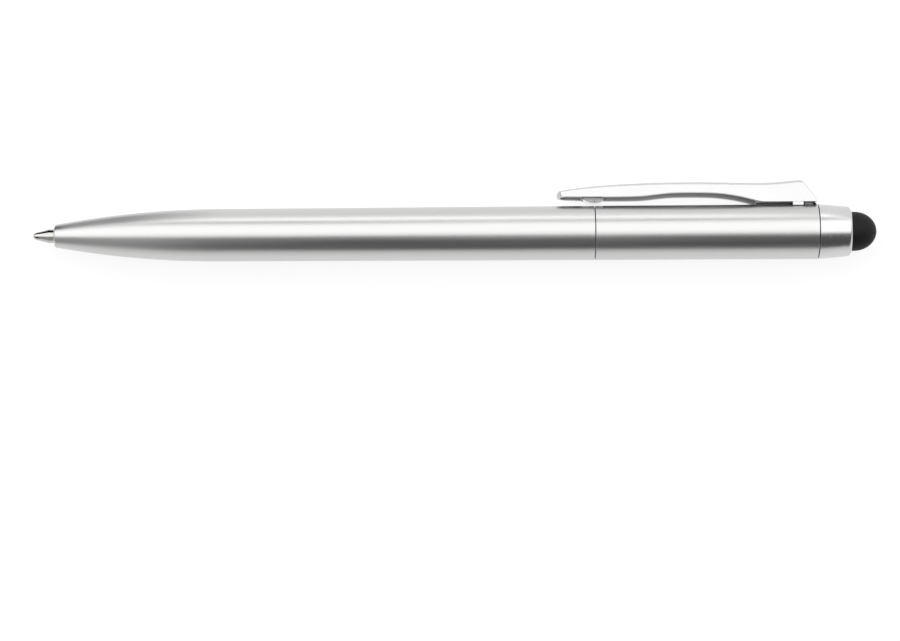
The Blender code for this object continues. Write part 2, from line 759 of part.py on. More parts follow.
def wall_height(share):
    return CLIP_BASE + CLIP_RISE * smooth_line(CLIP_WALL_SHARES, share)


def clip_section(station, inset):
    """One section of the clip: an arched crown between two side walls, moved in by an inset."""
    share = (station - CLIP_START) / CLIP_LENGTH
    full = CLIP_WIDTH / 2 * smooth_line(CLIP_WIDTH_SHARES, share)
    from_tip = station - CLIP_START - inset
    fade = min(max(1 - from_tip / (CLIP_TIP_RADIUS - inset), 0), 1)
    half = (full - inset) * math.sqrt(1 - fade**2)
    tuck = min(max(1 - from_tip / CLIP_FRONT_DEPTH, 0), 1)
    top = clip_height(share) - inset - CLIP_FRONT_DEPTH * (1 - math.sqrt(1 - tuck**2))
    low = wall_height(share)
    arc = CLIP_CROWN_RADIUS - inset
    edge = min(CLIP_EDGE_RADIUS, half / 2)
    shoulder = top - arc + math.sqrt(arc**2 - (half - edge) ** 2)
    x = at(station)
    section = [(x, low, -half), (x, shoulder - edge, -half)]
    for step in range(CROWN_STEPS + 1):
        side = (half - edge) * (2 * step / CROWN_STEPS - 1)
        section.append((x, top - arc + math.sqrt(arc**2 - side**2), side))
    section += [(x, shoulder - edge, half), (x, low, half)]
    return section


def clip_stations(start, end):
    """Close stations round the clip's tip, then even ones."""
    stations = []
    for step in range(1, CLIP_TIP_STEPS + 1):
        angle = math.pi / 2 * step / CLIP_TIP_STEPS
        stations.append(start + CLIP_TIP_RADIUS * (1 - math.cos(angle)))
    straight = end - start - CLIP_TIP_RADIUS
    for step in range(1, CLIP_STEPS + 1):
        stations.append(start + CLIP_TIP_RADIUS + straight * step / CLIP_STEPS)
    return stations


def slope_cut(mesh, inset):
    """Cuts the flat back slope and closes it."""
    ridge = Vector((at(CLIP_END - CLIP_SLOPE_LENGTH), CLIP_TOP, 0))
    normal = Vector((CLIP_SLOPE_DROP, CLIP_SLOPE_LENGTH, 0)).normalized()
    parts = list(mesh.verts) + list(mesh.edges) + list(mesh.faces)
    place = ridge - normal * inset
    bmesh.ops.bisect_plane(mesh, geom=parts, plane_co=place, plane_no=normal, clear_outer=True)
    open_edges = [edge for edge in mesh.edges if len(edge.link_faces) == 1]
    bmesh.ops.holes_fill(mesh, edges=open_edges)


def clip_shell():
    sections = [clip_section(station, 0) for station in clip_stations(CLIP_START, CLIP_END)]
    mesh = lofted_mesh(sections)
    slope_cut(mesh, 0)
    return mesh


def clip_hollow():
    """What is pressed out from below: the shell drawn in by the sheet's thickness."""
    start = CLIP_START + CLIP_SHEET
    end = CLIP_END - CLIP_SHEET
    sections = []
    for station in clip_stations(start, end):
        section = clip_section(station, CLIP_SHEET)
        floor = -CLIP_RISE
        section[0] = (section[0][0], section[0][1] + floor, section[0][2])
        section[-1] = (section[-1][0], section[-1][1] + floor, section[-1][2])
        sections.append(section)
    mesh = lofted_mesh(sections)
    slope_cut(mesh, CLIP_SHEET)
    return mesh


def nub_mesh():
    """The gripping nub: a pressed bulge under the crown that comes down to the barrel."""
    start = CLIP_START + NUB_START
    low = CLIP_BASE + NUB_GAP
    roof = clip_height((NUB_START + NUB_LENGTH / 2) / CLIP_LENGTH) - CLIP_SHEET
    sections = []
    for out, lift in NUB_SIDE_SHARES:
        section = []
        for along, up in NUB_SHARES:
            raised = up + lift * (1 - up)
            section.append((at(start + NUB_LENGTH * along), low + (roof - low) * raised, out * NUB_WIDTH / 2))
        sections.append(section)
    return lofted_mesh(sections)


def foot_blocks():
    """The foot that closes the clip's rear end from below, its two pads and the tab into the barrel."""
    barrel = REAR_DIAMETER / 2
    front = CLIP_END - CLIP_FOOT_LENGTH
    rear = CLIP_END - CLIP_SHEET / 2
    floor = barrel + CLIP_SHEET
    middle = barrel + CLIP_SHEET * FOOT_MIDDLE_SHARE
    pad = (barrel + RUN_GAP, middle)
    tab = (BARREL_BORE_RADIUS - TAB_DEPTH + TAB_GAP, middle)
    return (
        ("clip_foot", (front, rear), (floor, floor + CLIP_SHEET), (CLIP_WIDTH - CLIP_SHEET) / 2),
        ("clip_front_pad", (front, front + FOOT_PAD_LENGTH), pad, FOOT_WIDTH / 2),
        ("clip_heel_pad", (CLIP_END - HEEL_PAD_LENGTH, rear), pad, FOOT_WIDTH / 2),
        ("clip_tab", (TAB_START, TAB_END), tab, TAB_WIDTH / 2),
    )


def leg_mesh(side):
    """A short leg that carries on from one side wall, between the pads, down to the barrel's curve."""
    inner = FOOT_WIDTH / 2 - RUN_GAP
    outer = CLIP_WIDTH / 2 - LEG_INSET
    clear = REAR_DIAMETER / 2 + RUN_GAP
    top = REAR_DIAMETER / 2 + CLIP_SHEET * FOOT_MIDDLE_SHARE
    start = CLIP_END - CLIP_FOOT_LENGTH + FOOT_PAD_LENGTH - LEG_OVERLAP
    end = CLIP_END - HEEL_PAD_LENGTH + LEG_OVERLAP
    corners = [(top, inner), (top, outer)]
    corners += [(math.sqrt(clear**2 - out**2), out) for out in (outer, inner)]
    sections = []
    for station in (start, end):
        sections.append([(at(station), height, side * out) for height, out in corners])
    return lofted_mesh(sections)


def make_clip(frame, material):
    """The pressed clip, turning at its tab, where its spring is."""
    pivot = (at(CLIP_PIVOT), REAR_DIAMETER / 2, 0)
    clip = add_object("clip", clip_shell(), material, frame, pivot)
    hollow = add_object("clip_hollow", clip_hollow(), material, frame, pivot)
    shape_with(clip, hollow, "DIFFERENCE")
    nub = add_object("clip_nub", nub_mesh(), material, frame, pivot)
    shape_with(clip, nub, "UNION")
    for name, stations, heights, half_width in foot_blocks():
        shape_with(clip, block(name, stations, heights, half_width, material, frame, pivot), "UNION")
    for name, side in (("clip_leg_1", 1), ("clip_leg_2", -1)):
        shape_with(clip, add_object(name, leg_mesh(side), material, frame, pivot), "UNION")
    return clip


def lay_down(frame, clip):
    """Rolls the pen until the clip touches the table, and sets the middle of its footprint at zero."""
    rest = REAR_DIAMETER / 2
    spots = [clip.location + vertex.co for vertex in clip.data.vertices]
    rolls = []
    for spot in spots:
        reach = math.hypot(spot.y, spot.z)
        if reach > rest:
            rolls.append(math.asin(rest / reach) - math.atan2(abs(spot.z), spot.y))
    roll = min(rolls)
    widest = max(spot.y * math.cos(roll) + spot.z * math.sin(roll) for spot in spots)
    frame.rotation_euler = (-roll, 0, 0)
    frame.location = (0, (rest - widest) / 2, rest)
    print("roll of the clip below level (degrees):", round(math.degrees(roll), 3))


def build():
    clear_scene()
    frame = bpy.data.objects.new("pen_axis", None)
    bpy.context.collection.objects.link(frame)
    silver = finish("satin_silver", (0.62, 0.62, 0.61), 1.0, 0.32)
    cap_silver = finish("cap_silver", (0.64, 0.64, 0.65), 1.0, 0.22)
    bright = finish("bright_steel", (0.72, 0.72, 0.72), 1.0, 0.12)
    steel = finish("spring_steel", (0.55, 0.55, 0.56), 1.0, 0.3)
    nickel = finish("nickel_point", (0.66, 0.64, 0.60), 1.0, 0.18)
    carbide = finish("carbide_ball", (0.35, 0.35, 0.36), 1.0, 0.1)
    brass = finish("brass", (0.78, 0.60, 0.28), 1.0, 0.28)
    rubber = finish("black_rubber", (0.025, 0.025, 0.026), 0.0, 0.65)
    black_plastic = finish("black_plastic", (0.03, 0.03, 0.03), 0.0, 0.4)
    clear_plastic = finish("tube_plastic", (0.82, 0.84, 0.85), 0.0, 0.3)
    ink = finish("blue_ink", (0.01, 0.02, 0.18), 0.0, 0.2)
    grease = finish("clear_grease", (0.80, 0.76, 0.55), 0.0, 0.25)

    make_lower_barrel(frame, silver)
    make_nose_bush(frame, black_plastic)
    make_return_spring(frame, steel)
    make_writing_ball(frame, carbide)
    make_refill_tip(frame, nickel)
    make_refill_tube(frame, clear_plastic)
    make_fillings(frame, ink, grease)
    make_refill_carrier(frame, black_plastic)
    make_cross_pin(frame, steel)
    make_drive_sleeve(frame, black_plastic)
    make_mechanism_housing(frame, steel)
    make_friction_ring(frame, rubber)
    make_retaining_ring(frame, steel)
    make_barrel_insert(frame, brass)
    make_upper_barrel(frame, silver)
    make_end_plug(frame, black_plastic)
    make_end_cap(frame, cap_silver)
    make_stylus_tip(frame, rubber)
    make_stylus_stem(frame, brass)
    make_stylus_collar(frame, brass)
    clip = make_clip(frame, bright)
    lay_down(frame, clip)


build()
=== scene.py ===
"""The looks of a twist-action ballpoint pen with a rubber stylus dome.

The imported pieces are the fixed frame. The pieces that show are built again here in the same places,
finer and with their real finish, and the pieces inside get their materials. Sizes are in metres. A
station is a distance behind the writing point along the pen, x runs along the stations, y points
from the pen's axis to the clip and z points to the pen's side.
"""

import json
import math

import bmesh
import bpy
from mathutils import Matrix, Vector


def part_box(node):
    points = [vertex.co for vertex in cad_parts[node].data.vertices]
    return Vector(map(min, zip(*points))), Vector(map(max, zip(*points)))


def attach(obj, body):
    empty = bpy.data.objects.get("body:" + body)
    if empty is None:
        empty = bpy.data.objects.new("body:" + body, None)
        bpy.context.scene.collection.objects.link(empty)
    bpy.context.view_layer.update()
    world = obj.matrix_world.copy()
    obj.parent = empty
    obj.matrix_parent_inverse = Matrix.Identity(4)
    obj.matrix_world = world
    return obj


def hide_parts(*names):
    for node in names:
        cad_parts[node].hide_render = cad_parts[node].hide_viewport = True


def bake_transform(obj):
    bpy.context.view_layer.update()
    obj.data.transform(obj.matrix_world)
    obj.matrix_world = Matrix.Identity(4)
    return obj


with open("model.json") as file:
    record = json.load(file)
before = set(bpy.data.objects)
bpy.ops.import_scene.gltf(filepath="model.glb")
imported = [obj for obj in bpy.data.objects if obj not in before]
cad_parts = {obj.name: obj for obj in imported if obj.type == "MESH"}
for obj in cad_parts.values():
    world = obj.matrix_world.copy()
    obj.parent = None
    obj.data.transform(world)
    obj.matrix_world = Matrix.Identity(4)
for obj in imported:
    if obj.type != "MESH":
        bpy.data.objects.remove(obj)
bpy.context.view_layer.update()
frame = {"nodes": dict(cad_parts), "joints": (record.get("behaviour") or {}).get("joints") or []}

# The barrels
NOSE_LENGTH = 0.0275
NOSE_FACE_DIAMETER = 0.0037
NOSE_EDGE_RADIUS = 0.00045
NOSE_BORE = 0.0025
NOSE_WALL = 0.0006
FRONT_DIAMETER = 0.0087
SEAM_DIAMETER = 0.0090
REAR_DIAMETER = 0.0091
BARREL_BORE = 0.0081
BARREL_EDGE_RADIUS = 0.00005
SEAM_NARROWING = 0.00003
BUSH_BORE = 0.0044
RUN_GAP = 0.0001
CUT_OVERRUN = 0.0004

# The end cap and the stylus dome
CAP_END_DIAMETER = 0.0083
CAP_SHOULDER_RADIUS = 0.0007
CAP_BORE = 0.0075
CAP_LIP_LENGTH = 0.0008
CAP_LIP_RADIUS = 0.00015
DOME_DIAMETER = 0.0065
DOME_ROUND_LENGTH = 0.0037
DOME_WALL = 0.0009
DOME_FLANGE_DIAMETER = 0.0073
DOME_FLANGE_LENGTH = 0.0009

# The refill's point
BALL_DIAMETER = 0.0008
BALL_SHOW_SHARE = 0.22
BALL_SEAT_DEGREES = 150.0
SOCKET_GAP = 0.00005
POINT_LENGTH = 0.0024
POINT_SHANK_DIAMETER = 0.0023
POINT_SHANK_LENGTH = 0.0071
POINT_STUB_LENGTH = 0.0025
POINT_STUB_DIAMETER = 0.0021
INK_CHANNEL_DIAMETER = 0.0012

# Its outline, as shares of its length against shares of its shank's radius
POINT_SHARES = ((0.24, 0.575), (0.45, 0.65), (0.93, 0.91), (1.0, 0.93))

# The wires
SPRING_WIRE = 0.00035
SPRING_DIAMETER = 0.0041
SPRING_TURNS = 11
SPRING_DEAD_TURNS = 0.75
SPRING_DEAD_PITCH_SHARE = 1.15
RING_WIRE = 0.00034

# The clip
CLIP_RISE = 0.00416
CLIP_WIDTH = 0.0046
CLIP_CROWN_RADIUS = 0.0046
CLIP_CORNER = 0.0002
CLIP_RIM = 0.00005
CROWN_EASE = 0.000015
CLIP_SHEET = 0.0005
CLIP_FRONT_DEPTH = 0.0007
CLIP_SLOPE_LENGTH = 0.0026
CLIP_SLOPE_DROP = 0.0035
CLIP_RIDGE_RADIUS = 0.00016
CLIP_FOOT_LENGTH = 0.0100
FOOT_PAD_LENGTH = 0.00625
HEEL_PAD_LENGTH = 0.00245
FOOT_WIDTH = 0.0034
FOOT_BEVEL = 0.00006
FOOT_MIDDLE_SHARE = 1.5
LEG_OVERLAP = 0.00025
LEG_INSET = 0.00006
TAB_LENGTH = 0.0014
TAB_WIDTH = 0.0018
TAB_DEPTH = 0.0013
TAB_SETBACK = 0.0005
TAB_GAP = 0.00015
NUB_START = 0.0040
NUB_LENGTH = 0.0038
NUB_WIDTH = 0.0028
NUB_FLARE = 0.0005
NUB_GAP = 0.00045
# Height over the nub's bottom above which its flanks carry painted shade
NUB_PAINTED_SHADE_HEIGHT = 0.00054

# Outlines of the clip, as shares of its length against shares of its rise or of its width
CLIP_TOP_SHARES = (
    (0.0, 0.60),
    (0.09, 0.74),
    (0.205, 0.85),
    (0.32, 0.911),
    (0.40, 0.936),
    (0.55, 0.946),
    (0.71, 0.912),
    (0.79, 0.900),
    (0.86, 0.935),
    (0.905, 0.985),
    (0.94, 1.0),
    (1.0, 1.0),
)
CLIP_WALL_SHARES = (
    (0.0, 0.33),
    (0.17, 0.29),
    (0.32, 0.30),
    (0.38, 0.36),
    (0.44, 0.42),
    (0.55, 0.427),
    (0.63, 0.39),
    (0.71, 0.255),
    (0.78, 0.06),
    (0.80, 0.04),
    (1.0, 0.04),
)
CLIP_WIDTH_SHARES = ((0.0, 0.71), (0.14, 0.85), (0.35, 0.965), (0.6, 0.99), (1.0, 1.0))

# Outlines of the nub below it: its height over its length, and what its sides add to that
NUB_SHARES = (
    (0.0, 0.36),
    (0.08, 0.25),
    (0.20, 0.135),
    (0.36, 0.04),
    (0.60, 0.0),
    (0.80, 0.02),
    (0.90, 0.09),
    (0.96, 0.21),
    (1.0, 0.36),
)
NUB_SIDE_SHARES = ((0.0, 0.0), (0.6, 0.0), (0.88, 0.02), (1.0, 0.08))

# How finely the forms are divided
BARREL_SIDES = 144
SMALL_SIDES = 72
NOSE_STEPS = 60
CORNER_STEPS = 8
SMALL_CORNER_STEPS = 4
FOOT_BEVEL_STEPS = 3
DOME_STEPS = 28
BALL_SIDES = 48
BALL_RINGS = 24
SPRING_STEPS = 32
WIRE_SIDES = 12
CLIP_STEPS = 110
CLIP_TIP_STEPS = 18
CROWN_STEPS = 20
NUB_STEPS = 24
SHARP_DEGREES = 32.0
MERGE_DISTANCE = 0.0000005

# Stations round the ridge of the clip's back slope; none falls on the ridge itself
RIDGE_STEPS = range(-3, 9)
RIDGE_STEP_SHARE = 0.5
RIDGE_SHIFT_SHARE = 0.1

# Places read from the frame
JOINTS = {joint["name"]: joint for joint in frame["joints"]}
POINT_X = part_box("writing_ball")[0].x
PEN_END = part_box("stylus_tip")[1].x - POINT_X
NOSE_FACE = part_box("lower_barrel")[0].x - POINT_X
NOSE_END = NOSE_FACE + NOSE_LENGTH
LOWER_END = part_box("lower_barrel")[1].x - POINT_X
UPPER_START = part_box("upper_barrel")[0].x - POINT_X
UPPER_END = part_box("upper_barrel")[1].x - POINT_X
CAP_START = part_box("end_cap")[0].x - POINT_X
CAP_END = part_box("end_cap")[1].x - POINT_X
CLIP_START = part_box("clip")[0].x - POINT_X
CLIP_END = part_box("clip")[1].x - POINT_X
CLIP_LENGTH = CLIP_END - CLIP_START
CLIP_BASE = SEAM_DIAMETER / 2
CLIP_TOP = CLIP_BASE + CLIP_RISE
CLIP_TIP_RADIUS = CLIP_WIDTH / 2 * CLIP_WIDTH_SHARES[0][1]
BUSH_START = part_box("nose_bush")[0].x - POINT_X
BUSH_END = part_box("nose_bush")[1].x - POINT_X
SPRING_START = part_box("return_spring")[0].x - POINT_X
SPRING_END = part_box("return_spring")[1].x - POINT_X
INSERT_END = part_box("barrel_insert")[1].x - POINT_X
HOUSING_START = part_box("mechanism_housing")[0].x - POINT_X
SLEEVE_RADIUS = (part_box("drive_sleeve")[1].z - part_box("drive_sleeve")[0].z) / 2


def pen_matrix():
    """From the pen's own axes to the frame: along its axis, towards its clip and towards its side."""
    place = JOINTS["barrel_twist"]["pos_m"]
    side = -Vector(JOINTS["clip_flex"]["axis"])
    along = Vector(JOINTS["barrel_twist"]["axis"])
    to_clip = side.cross(along)
    turn = Matrix((along, to_clip, side)).transposed().to_4x4()
    return Matrix.Translation((0, place[1], place[2])) @ turn


PEN = pen_matrix()


def at(station):
    """The x of a station."""
    return station + POINT_X


# Materials

# Most of a noise texture lies between these two values
NOISE_LOW = 0.3
NOISE_HIGH = 0.7


def new_material(name, colour, metallic, roughness):
    material = bpy.data.materials.new(name)
    material.use_nodes = True
    shader = material.node_tree.nodes["Principled BSDF"]
    shader.inputs["Base Color"].default_value = (*colour, 1.0)
    shader.inputs["Metallic"].default_value = metallic
    shader.inputs["Roughness"].default_value = roughness
    return material, material.node_tree, shader


def noise(tree, size, stretch=(1, 1, 1), detail=3.0):
    """Noise whose features have a given size in metres, drawn out along some axes."""
    place = tree.nodes.new("ShaderNodeTexCoord")
    mapping = tree.nodes.new("ShaderNodeMapping")
    mapping.inputs["Scale"].default_value = stretch
    texture = tree.nodes.new("ShaderNodeTexNoise")
    texture.inputs["Scale"].default_value = 1 / size
    texture.inputs["Detail"].default_value = detail
    tree.links.new(place.outputs["Object"], mapping.inputs["Vector"])
    tree.links.new(mapping.outputs["Vector"], texture.inputs["Vector"])
    return texture.outputs["Fac"]


def vary_roughness(tree, shader, source, low, high):
    """Spreads noise between two roughness values."""
    spread = tree.nodes.new("ShaderNodeMapRange")
    spread.inputs["From Min"].default_value = NOISE_LOW
    spread.inputs["From Max"].default_value = NOISE_HIGH
    spread.inputs["To Min"].default_value = low
    spread.inputs["To Max"].default_value = high
    tree.links.new(source, spread.inputs["Value"])
    tree.links.new(spread.outputs["Result"], shader.inputs["Roughness"])


def vary_colour(tree, shader, source, colour, low, high):
    """Spreads noise between two shades of a colour, given as factors."""
    ramp = tree.nodes.new("ShaderNodeValToRGB")
    for element, place, factor in zip(ramp.color_ramp.elements, (NOISE_LOW, NOISE_HIGH), (low, high)):
        element.position = place
        element.color = (*(part * factor for part in colour), 1.0)
    tree.links.new(source, ramp.inputs["Fac"])
    tree.links.new(ramp.outputs["Color"], shader.inputs["Base Color"])


def add_bump(tree, shader, source, depth, strength, under=None):
    """Bump of a real depth; it can lie on another bump."""
    bump = tree.nodes.new("ShaderNodeBump")
    bump.inputs["Distance"].default_value = depth
    bump.inputs["Strength"].default_value = strength
    tree.links.new(source, bump.inputs["Height"])
    if under:
        tree.links.new(under, bump.inputs["Normal"])
    tree.links.new(bump.outputs["Normal"], shader.inputs["Normal"])
    return bump.outputs["Normal"]


def satin_metal():
    """Blasted and lacquered aluminium: an even fine grain over faint drawing marks along the tube."""
    colour = (0.60, 0.60, 0.595)
    material, tree, shader = new_material("satin_metal", colour, metallic=1.0, roughness=0.33)
    streaks = noise(tree, size=0.0009, stretch=(0.02, 1, 1), detail=4.0)
    grain = noise(tree, size=0.00006, detail=2.0)
    vary_colour(tree, shader, streaks, colour, low=0.97, high=1.03)
    vary_roughness(tree, shader, streaks, low=0.30, high=0.36)
    drawn = add_bump(tree, shader, streaks, depth=0.000004, strength=0.25)
    add_bump(tree, shader, grain, depth=0.000004, strength=0.25, under=drawn)
    return material


def cap_metal():
    """A bright turned cap with very fine marks round it."""
    colour = (0.63, 0.63, 0.635)
    material, tree, shader = new_material("cap_metal", colour, metallic=1.0, roughness=0.2)
    rings = noise(tree, size=0.0025, stretch=(30, 1, 1))
    cloud = noise(tree, size=0.002, detail=2.0)
    vary_colour(tree, shader, cloud, colour, low=0.98, high=1.02)
    vary_roughness(tree, shader, rings, low=0.262, high=0.274)
    add_bump(tree, shader, rings, depth=0.0000008, strength=0.2)
    return material


def clip_metal():
    """Bright plating over pressed sheet, with the slightest waviness."""
    colour = (0.57, 0.57, 0.57)
    material, tree, shader = new_material("clip_metal", colour, metallic=1.0, roughness=0.13)
    wave = noise(tree, size=0.003, stretch=(0.4, 1, 1), detail=2.0)
    fine = noise(tree, size=0.00012, stretch=(0.3, 1, 1), detail=2.0)
    vary_colour(tree, shader, wave, colour, low=0.98, high=1.01)
    vary_roughness(tree, shader, fine, low=0.11, high=0.17)
    add_bump(tree, shader, wave, depth=0.00001, strength=0.3)
    return material


def pressed_metal(name, tone):
    """The pressed side of the clip's sheet, plated but not polished; at a low tone it is the painted
    shade on the nub's upper flanks.
    """
    colour = (tone, tone, tone)
    material, tree, shader = new_material(name, colour, metallic=1.0, roughness=0.4)
    fine = noise(tree, size=0.0002, stretch=(0.3, 1, 1))
    vary_colour(tree, shader, fine, colour, low=0.94, high=1.04)
    vary_roughness(tree, shader, fine, low=0.46, high=0.56)
    add_bump(tree, shader, fine, depth=0.000006, strength=0.3)
    return material


def nub_painted_light_metal():
    """The gripping nub's lower face: a bright copy of the clip's metal, painted light that stands in for
    light which the clip's shade keeps from it.
    """
    colour = (0.90, 0.90, 0.89)
    material, tree, shader = new_material("nub_painted_light_metal", colour, metallic=1.0, roughness=0.26)
    fine = noise(tree, size=0.00018)
    vary_colour(tree, shader, fine, colour, low=0.96, high=1.03)
    vary_roughness(tree, shader, fine, low=0.22, high=0.31)
    add_bump(tree, shader, fine, depth=0.000003, strength=0.25)
    return material


def turned_metal(name, colour, low, high):
    """Metal turned on a lathe, with marks round it."""
    material, tree, shader = new_material(name, colour, metallic=1.0, roughness=(low + high) / 2)
    rings = noise(tree, size=0.0004, stretch=(6, 1, 1))
    vary_colour(tree, shader, rings, colour, low=0.96, high=1.03)
    vary_roughness(tree, shader, rings, low, high)
    add_bump(tree, shader, rings, depth=0.000003, strength=0.25)
    return material


def drawn_wire(name, colour):
    """Drawn wire, finely marked."""
    material, tree, shader = new_material(name, colour, metallic=1.0, roughness=0.3)
    marks = noise(tree, size=0.00015)
    vary_colour(tree, shader, marks, colour, low=0.92, high=1.05)
    vary_roughness(tree, shader, marks, low=0.24, high=0.36)
    add_bump(tree, shader, marks, depth=0.000003, strength=0.25)
    return material


def black_rubber():
    """Conductive silicone: matt, with a very fine moulded texture and a little dust-like bloom."""
    colour = (0.008, 0.008, 0.0083)
    material, tree, shader = new_material("black_rubber", colour, metallic=0.0, roughness=0.6)
    grain = noise(tree, size=0.00012)
    cloud = noise(tree, size=0.0018, detail=2.0)
    vary_colour(tree, shader, cloud, colour, low=0.85, high=1.2)
    vary_roughness(tree, shader, grain, low=0.52, high=0.68)
    add_bump(tree, shader, grain, depth=0.000012, strength=0.35)
    shader.inputs["Specular IOR Level"].default_value = 0.22
    return material


def moulded_plastic(name, colour, low, high):
    """Moulded plastic, or a liquid that a solid stands in for, with a fine unevenness."""
    material, tree, shader = new_material(name, colour, metallic=0.0, roughness=(low + high) / 2)
    grain = noise(tree, size=0.00025)
    vary_colour(tree, shader, grain, colour, low=0.92, high=1.08)
    vary_roughness(tree, shader, grain, low, high)
    add_bump(tree, shader, grain, depth=0.000008, strength=0.25)
    return material


# Shapes


def finished_mesh(name, mesh_data):
    """Welds a mesh's doubled points and turns its faces outward."""
    bmesh.ops.remove_doubles(mesh_data, verts=mesh_data.verts, dist=MERGE_DISTANCE)
    bmesh.ops.dissolve_degenerate(mesh_data, edges=mesh_data.edges, dist=MERGE_DISTANCE)
    bmesh.ops.recalc_face_normals(mesh_data, faces=mesh_data.faces)
    mesh = bpy.data.meshes.new(name)
    mesh_data.to_mesh(mesh)
    mesh_data.free()
    mesh.shade_smooth()
    return mesh


def place_mesh(name, mesh_data, materials):
    """Puts a mesh that is drawn about the pen's axis on the pen, smooth but for its sharp edges."""
    mesh = finished_mesh(name, mesh_data)
    mesh.transform(PEN)
    mesh.set_sharp_from_angle(angle=math.radians(SHARP_DEGREES))
    for material in materials:
        mesh.materials.append(material)
    piece = bpy.data.objects.new(name, mesh)
    bpy.context.scene.collection.objects.link(piece)
    return piece


def add_piece(name, mesh_data, materials, body, slot, *nodes):
    """A piece that rides on its body, gets its materials and stands for its nodes; its slot argument is
    not used.
    """
    piece = place_mesh(name, mesh_data, materials)
    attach(piece, body)
    if nodes:
        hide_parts(*nodes)
    return piece


def ringed_mesh(rings, closed, material_of=None):
    """A skin over rings of equally many points; open ends are closed with flat faces."""
    mesh = bmesh.new()
    rows = [[mesh.verts.new(point) for point in ring] for ring in rings]
    pairs = list(zip(rows, rows[1:]))
    if closed:
        pairs.append((rows[-1], rows[0]))
    for ring, following in pairs:
        for index in range(len(ring)):
            behind = index - 1
            face = mesh.faces.new((ring[behind], ring[index], following[index], following[behind]))
            if material_of:
                face.material_index = material_of(index)
    if not closed:
        mesh.faces.new(rows[0])
        mesh.faces.new(reversed(rows[-1]))
    return mesh


def turned_mesh(outline, sides):
    """Spins a closed outline of (station, radius) points about the pen's axis."""
    rings = []
    for step in range(sides):
        angle = 2 * math.pi * step / sides
        across, out = math.cos(angle), math.sin(angle)
        rings.append([(at(station), radius * across, radius * out) for station, radius in outline])
    return ringed_mesh(rings, closed=True)


def block_mesh(start, end, low, high, half_width):
    """A block between two stations, two heights and its two sides."""
    corners = ((low, -half_width), (high, -half_width), (high, half_width), (low, half_width))
    rings = [[(at(station), *corner) for corner in corners] for station in (start, end)]
    return ringed_mesh(rings, closed=False)


def front_corner(station, radius, fillet):
    """A quarter-round outer corner that faces the point, from its face to its side."""
    points = []
    for step in range(CORNER_STEPS + 1):
        angle = math.pi / 2 * step / CORNER_STEPS
        along = fillet * (1 - math.cos(angle))
        inward = fillet * (1 - math.sin(angle))
        points.append((station + along, radius - inward))
    return points


def rear_corner(station, radius, fillet):
    """The same corner on the end that faces the dome, from its side to its face."""
    corner = front_corner(0, radius, fillet)
    return [(station - along, out) for along, out in reversed(corner)]


def smooth_line(points, share):
    """The value at a share on a smooth line through given points."""
    last = len(points) - 1
    slopes = []
    for index in range(len(points)):
        before, after = points[max(index - 1, 0)], points[min(index + 1, last)]
        slopes.append((after[1] - before[1]) / (after[0] - before[0]))
    for index in range(last):
        (x0, y0), (x1, y1) = points[index], points[index + 1]
        if share <= x1 or index == last - 1:
            span = x1 - x0
            t = (share - x0) / span
            start = y0 * (1 + 2 * t) * (1 - t) ** 2 + y1 * t**2 * (3 - 2 * t)
            bend = slopes[index] * t * (1 - t) ** 2 + slopes[index + 1] * t**2 * (t - 1)
            return start + bend * span


def bend_points(start, corner, end):
    """Points on a smooth bend from start to end past a corner, ends included."""
    points = []
    for step in range(SMALL_CORNER_STEPS + 1):
        t = step / SMALL_CORNER_STEPS
        points.append(start * (1 - t) ** 2 + corner * 2 * t * (1 - t) + end * t**2)
    return points


# Barrels, cap and dome


def barrel_radius(station):
    """The barrels' outer radius: an arc over the nose, then two slight straight tapers."""
    front = FRONT_DIAMETER / 2
    seam = SEAM_DIAMETER / 2
    if station < NOSE_END:
        drop = front - NOSE_FACE_DIAMETER / 2
        arc = (NOSE_LENGTH**2 + drop**2) / (2 * drop)
        return front - arc + math.sqrt(arc**2 - (NOSE_END - station) ** 2)
    if station < LOWER_END:
        return front + (seam - front) * (station - NOSE_END) / (LOWER_END - NOSE_END)
    return seam + (REAR_DIAMETER / 2 - seam) * (station - UPPER_START) / (UPPER_END - UPPER_START)


def make_lower_barrel(material):
    edge = NOSE_FACE + NOSE_EDGE_RADIUS
    bore = NOSE_BORE / 2
    bush = BUSH_BORE / 2
    outline = [(NOSE_FACE, bore)]
    outline += front_corner(NOSE_FACE, barrel_radius(edge), NOSE_EDGE_RADIUS)
    for step in range(1, NOSE_STEPS + 1):
        station = edge + (NOSE_END - edge) * step / NOSE_STEPS
        outline.append((station, barrel_radius(station)))
    end = LOWER_END + SEAM_NARROWING
    outline += rear_corner(end, barrel_radius(LOWER_END), BARREL_EDGE_RADIUS)
    outline.append((end, BARREL_BORE / 2))
    for step in range(CORNER_STEPS + 1):
        station = NOSE_END - (NOSE_END - BUSH_END) * step / CORNER_STEPS
        outline.append((station, min(BARREL_BORE / 2, barrel_radius(station) - NOSE_WALL)))
    outline += [(BUSH_END, bush), (BUSH_START - RUN_GAP, bush), (BUSH_START - RUN_GAP, bore)]
    mesh = turned_mesh(outline, BARREL_SIDES)
    add_piece("lower_barrel_skin", mesh, [material], "lower", "satin_barrel", "lower_barrel")


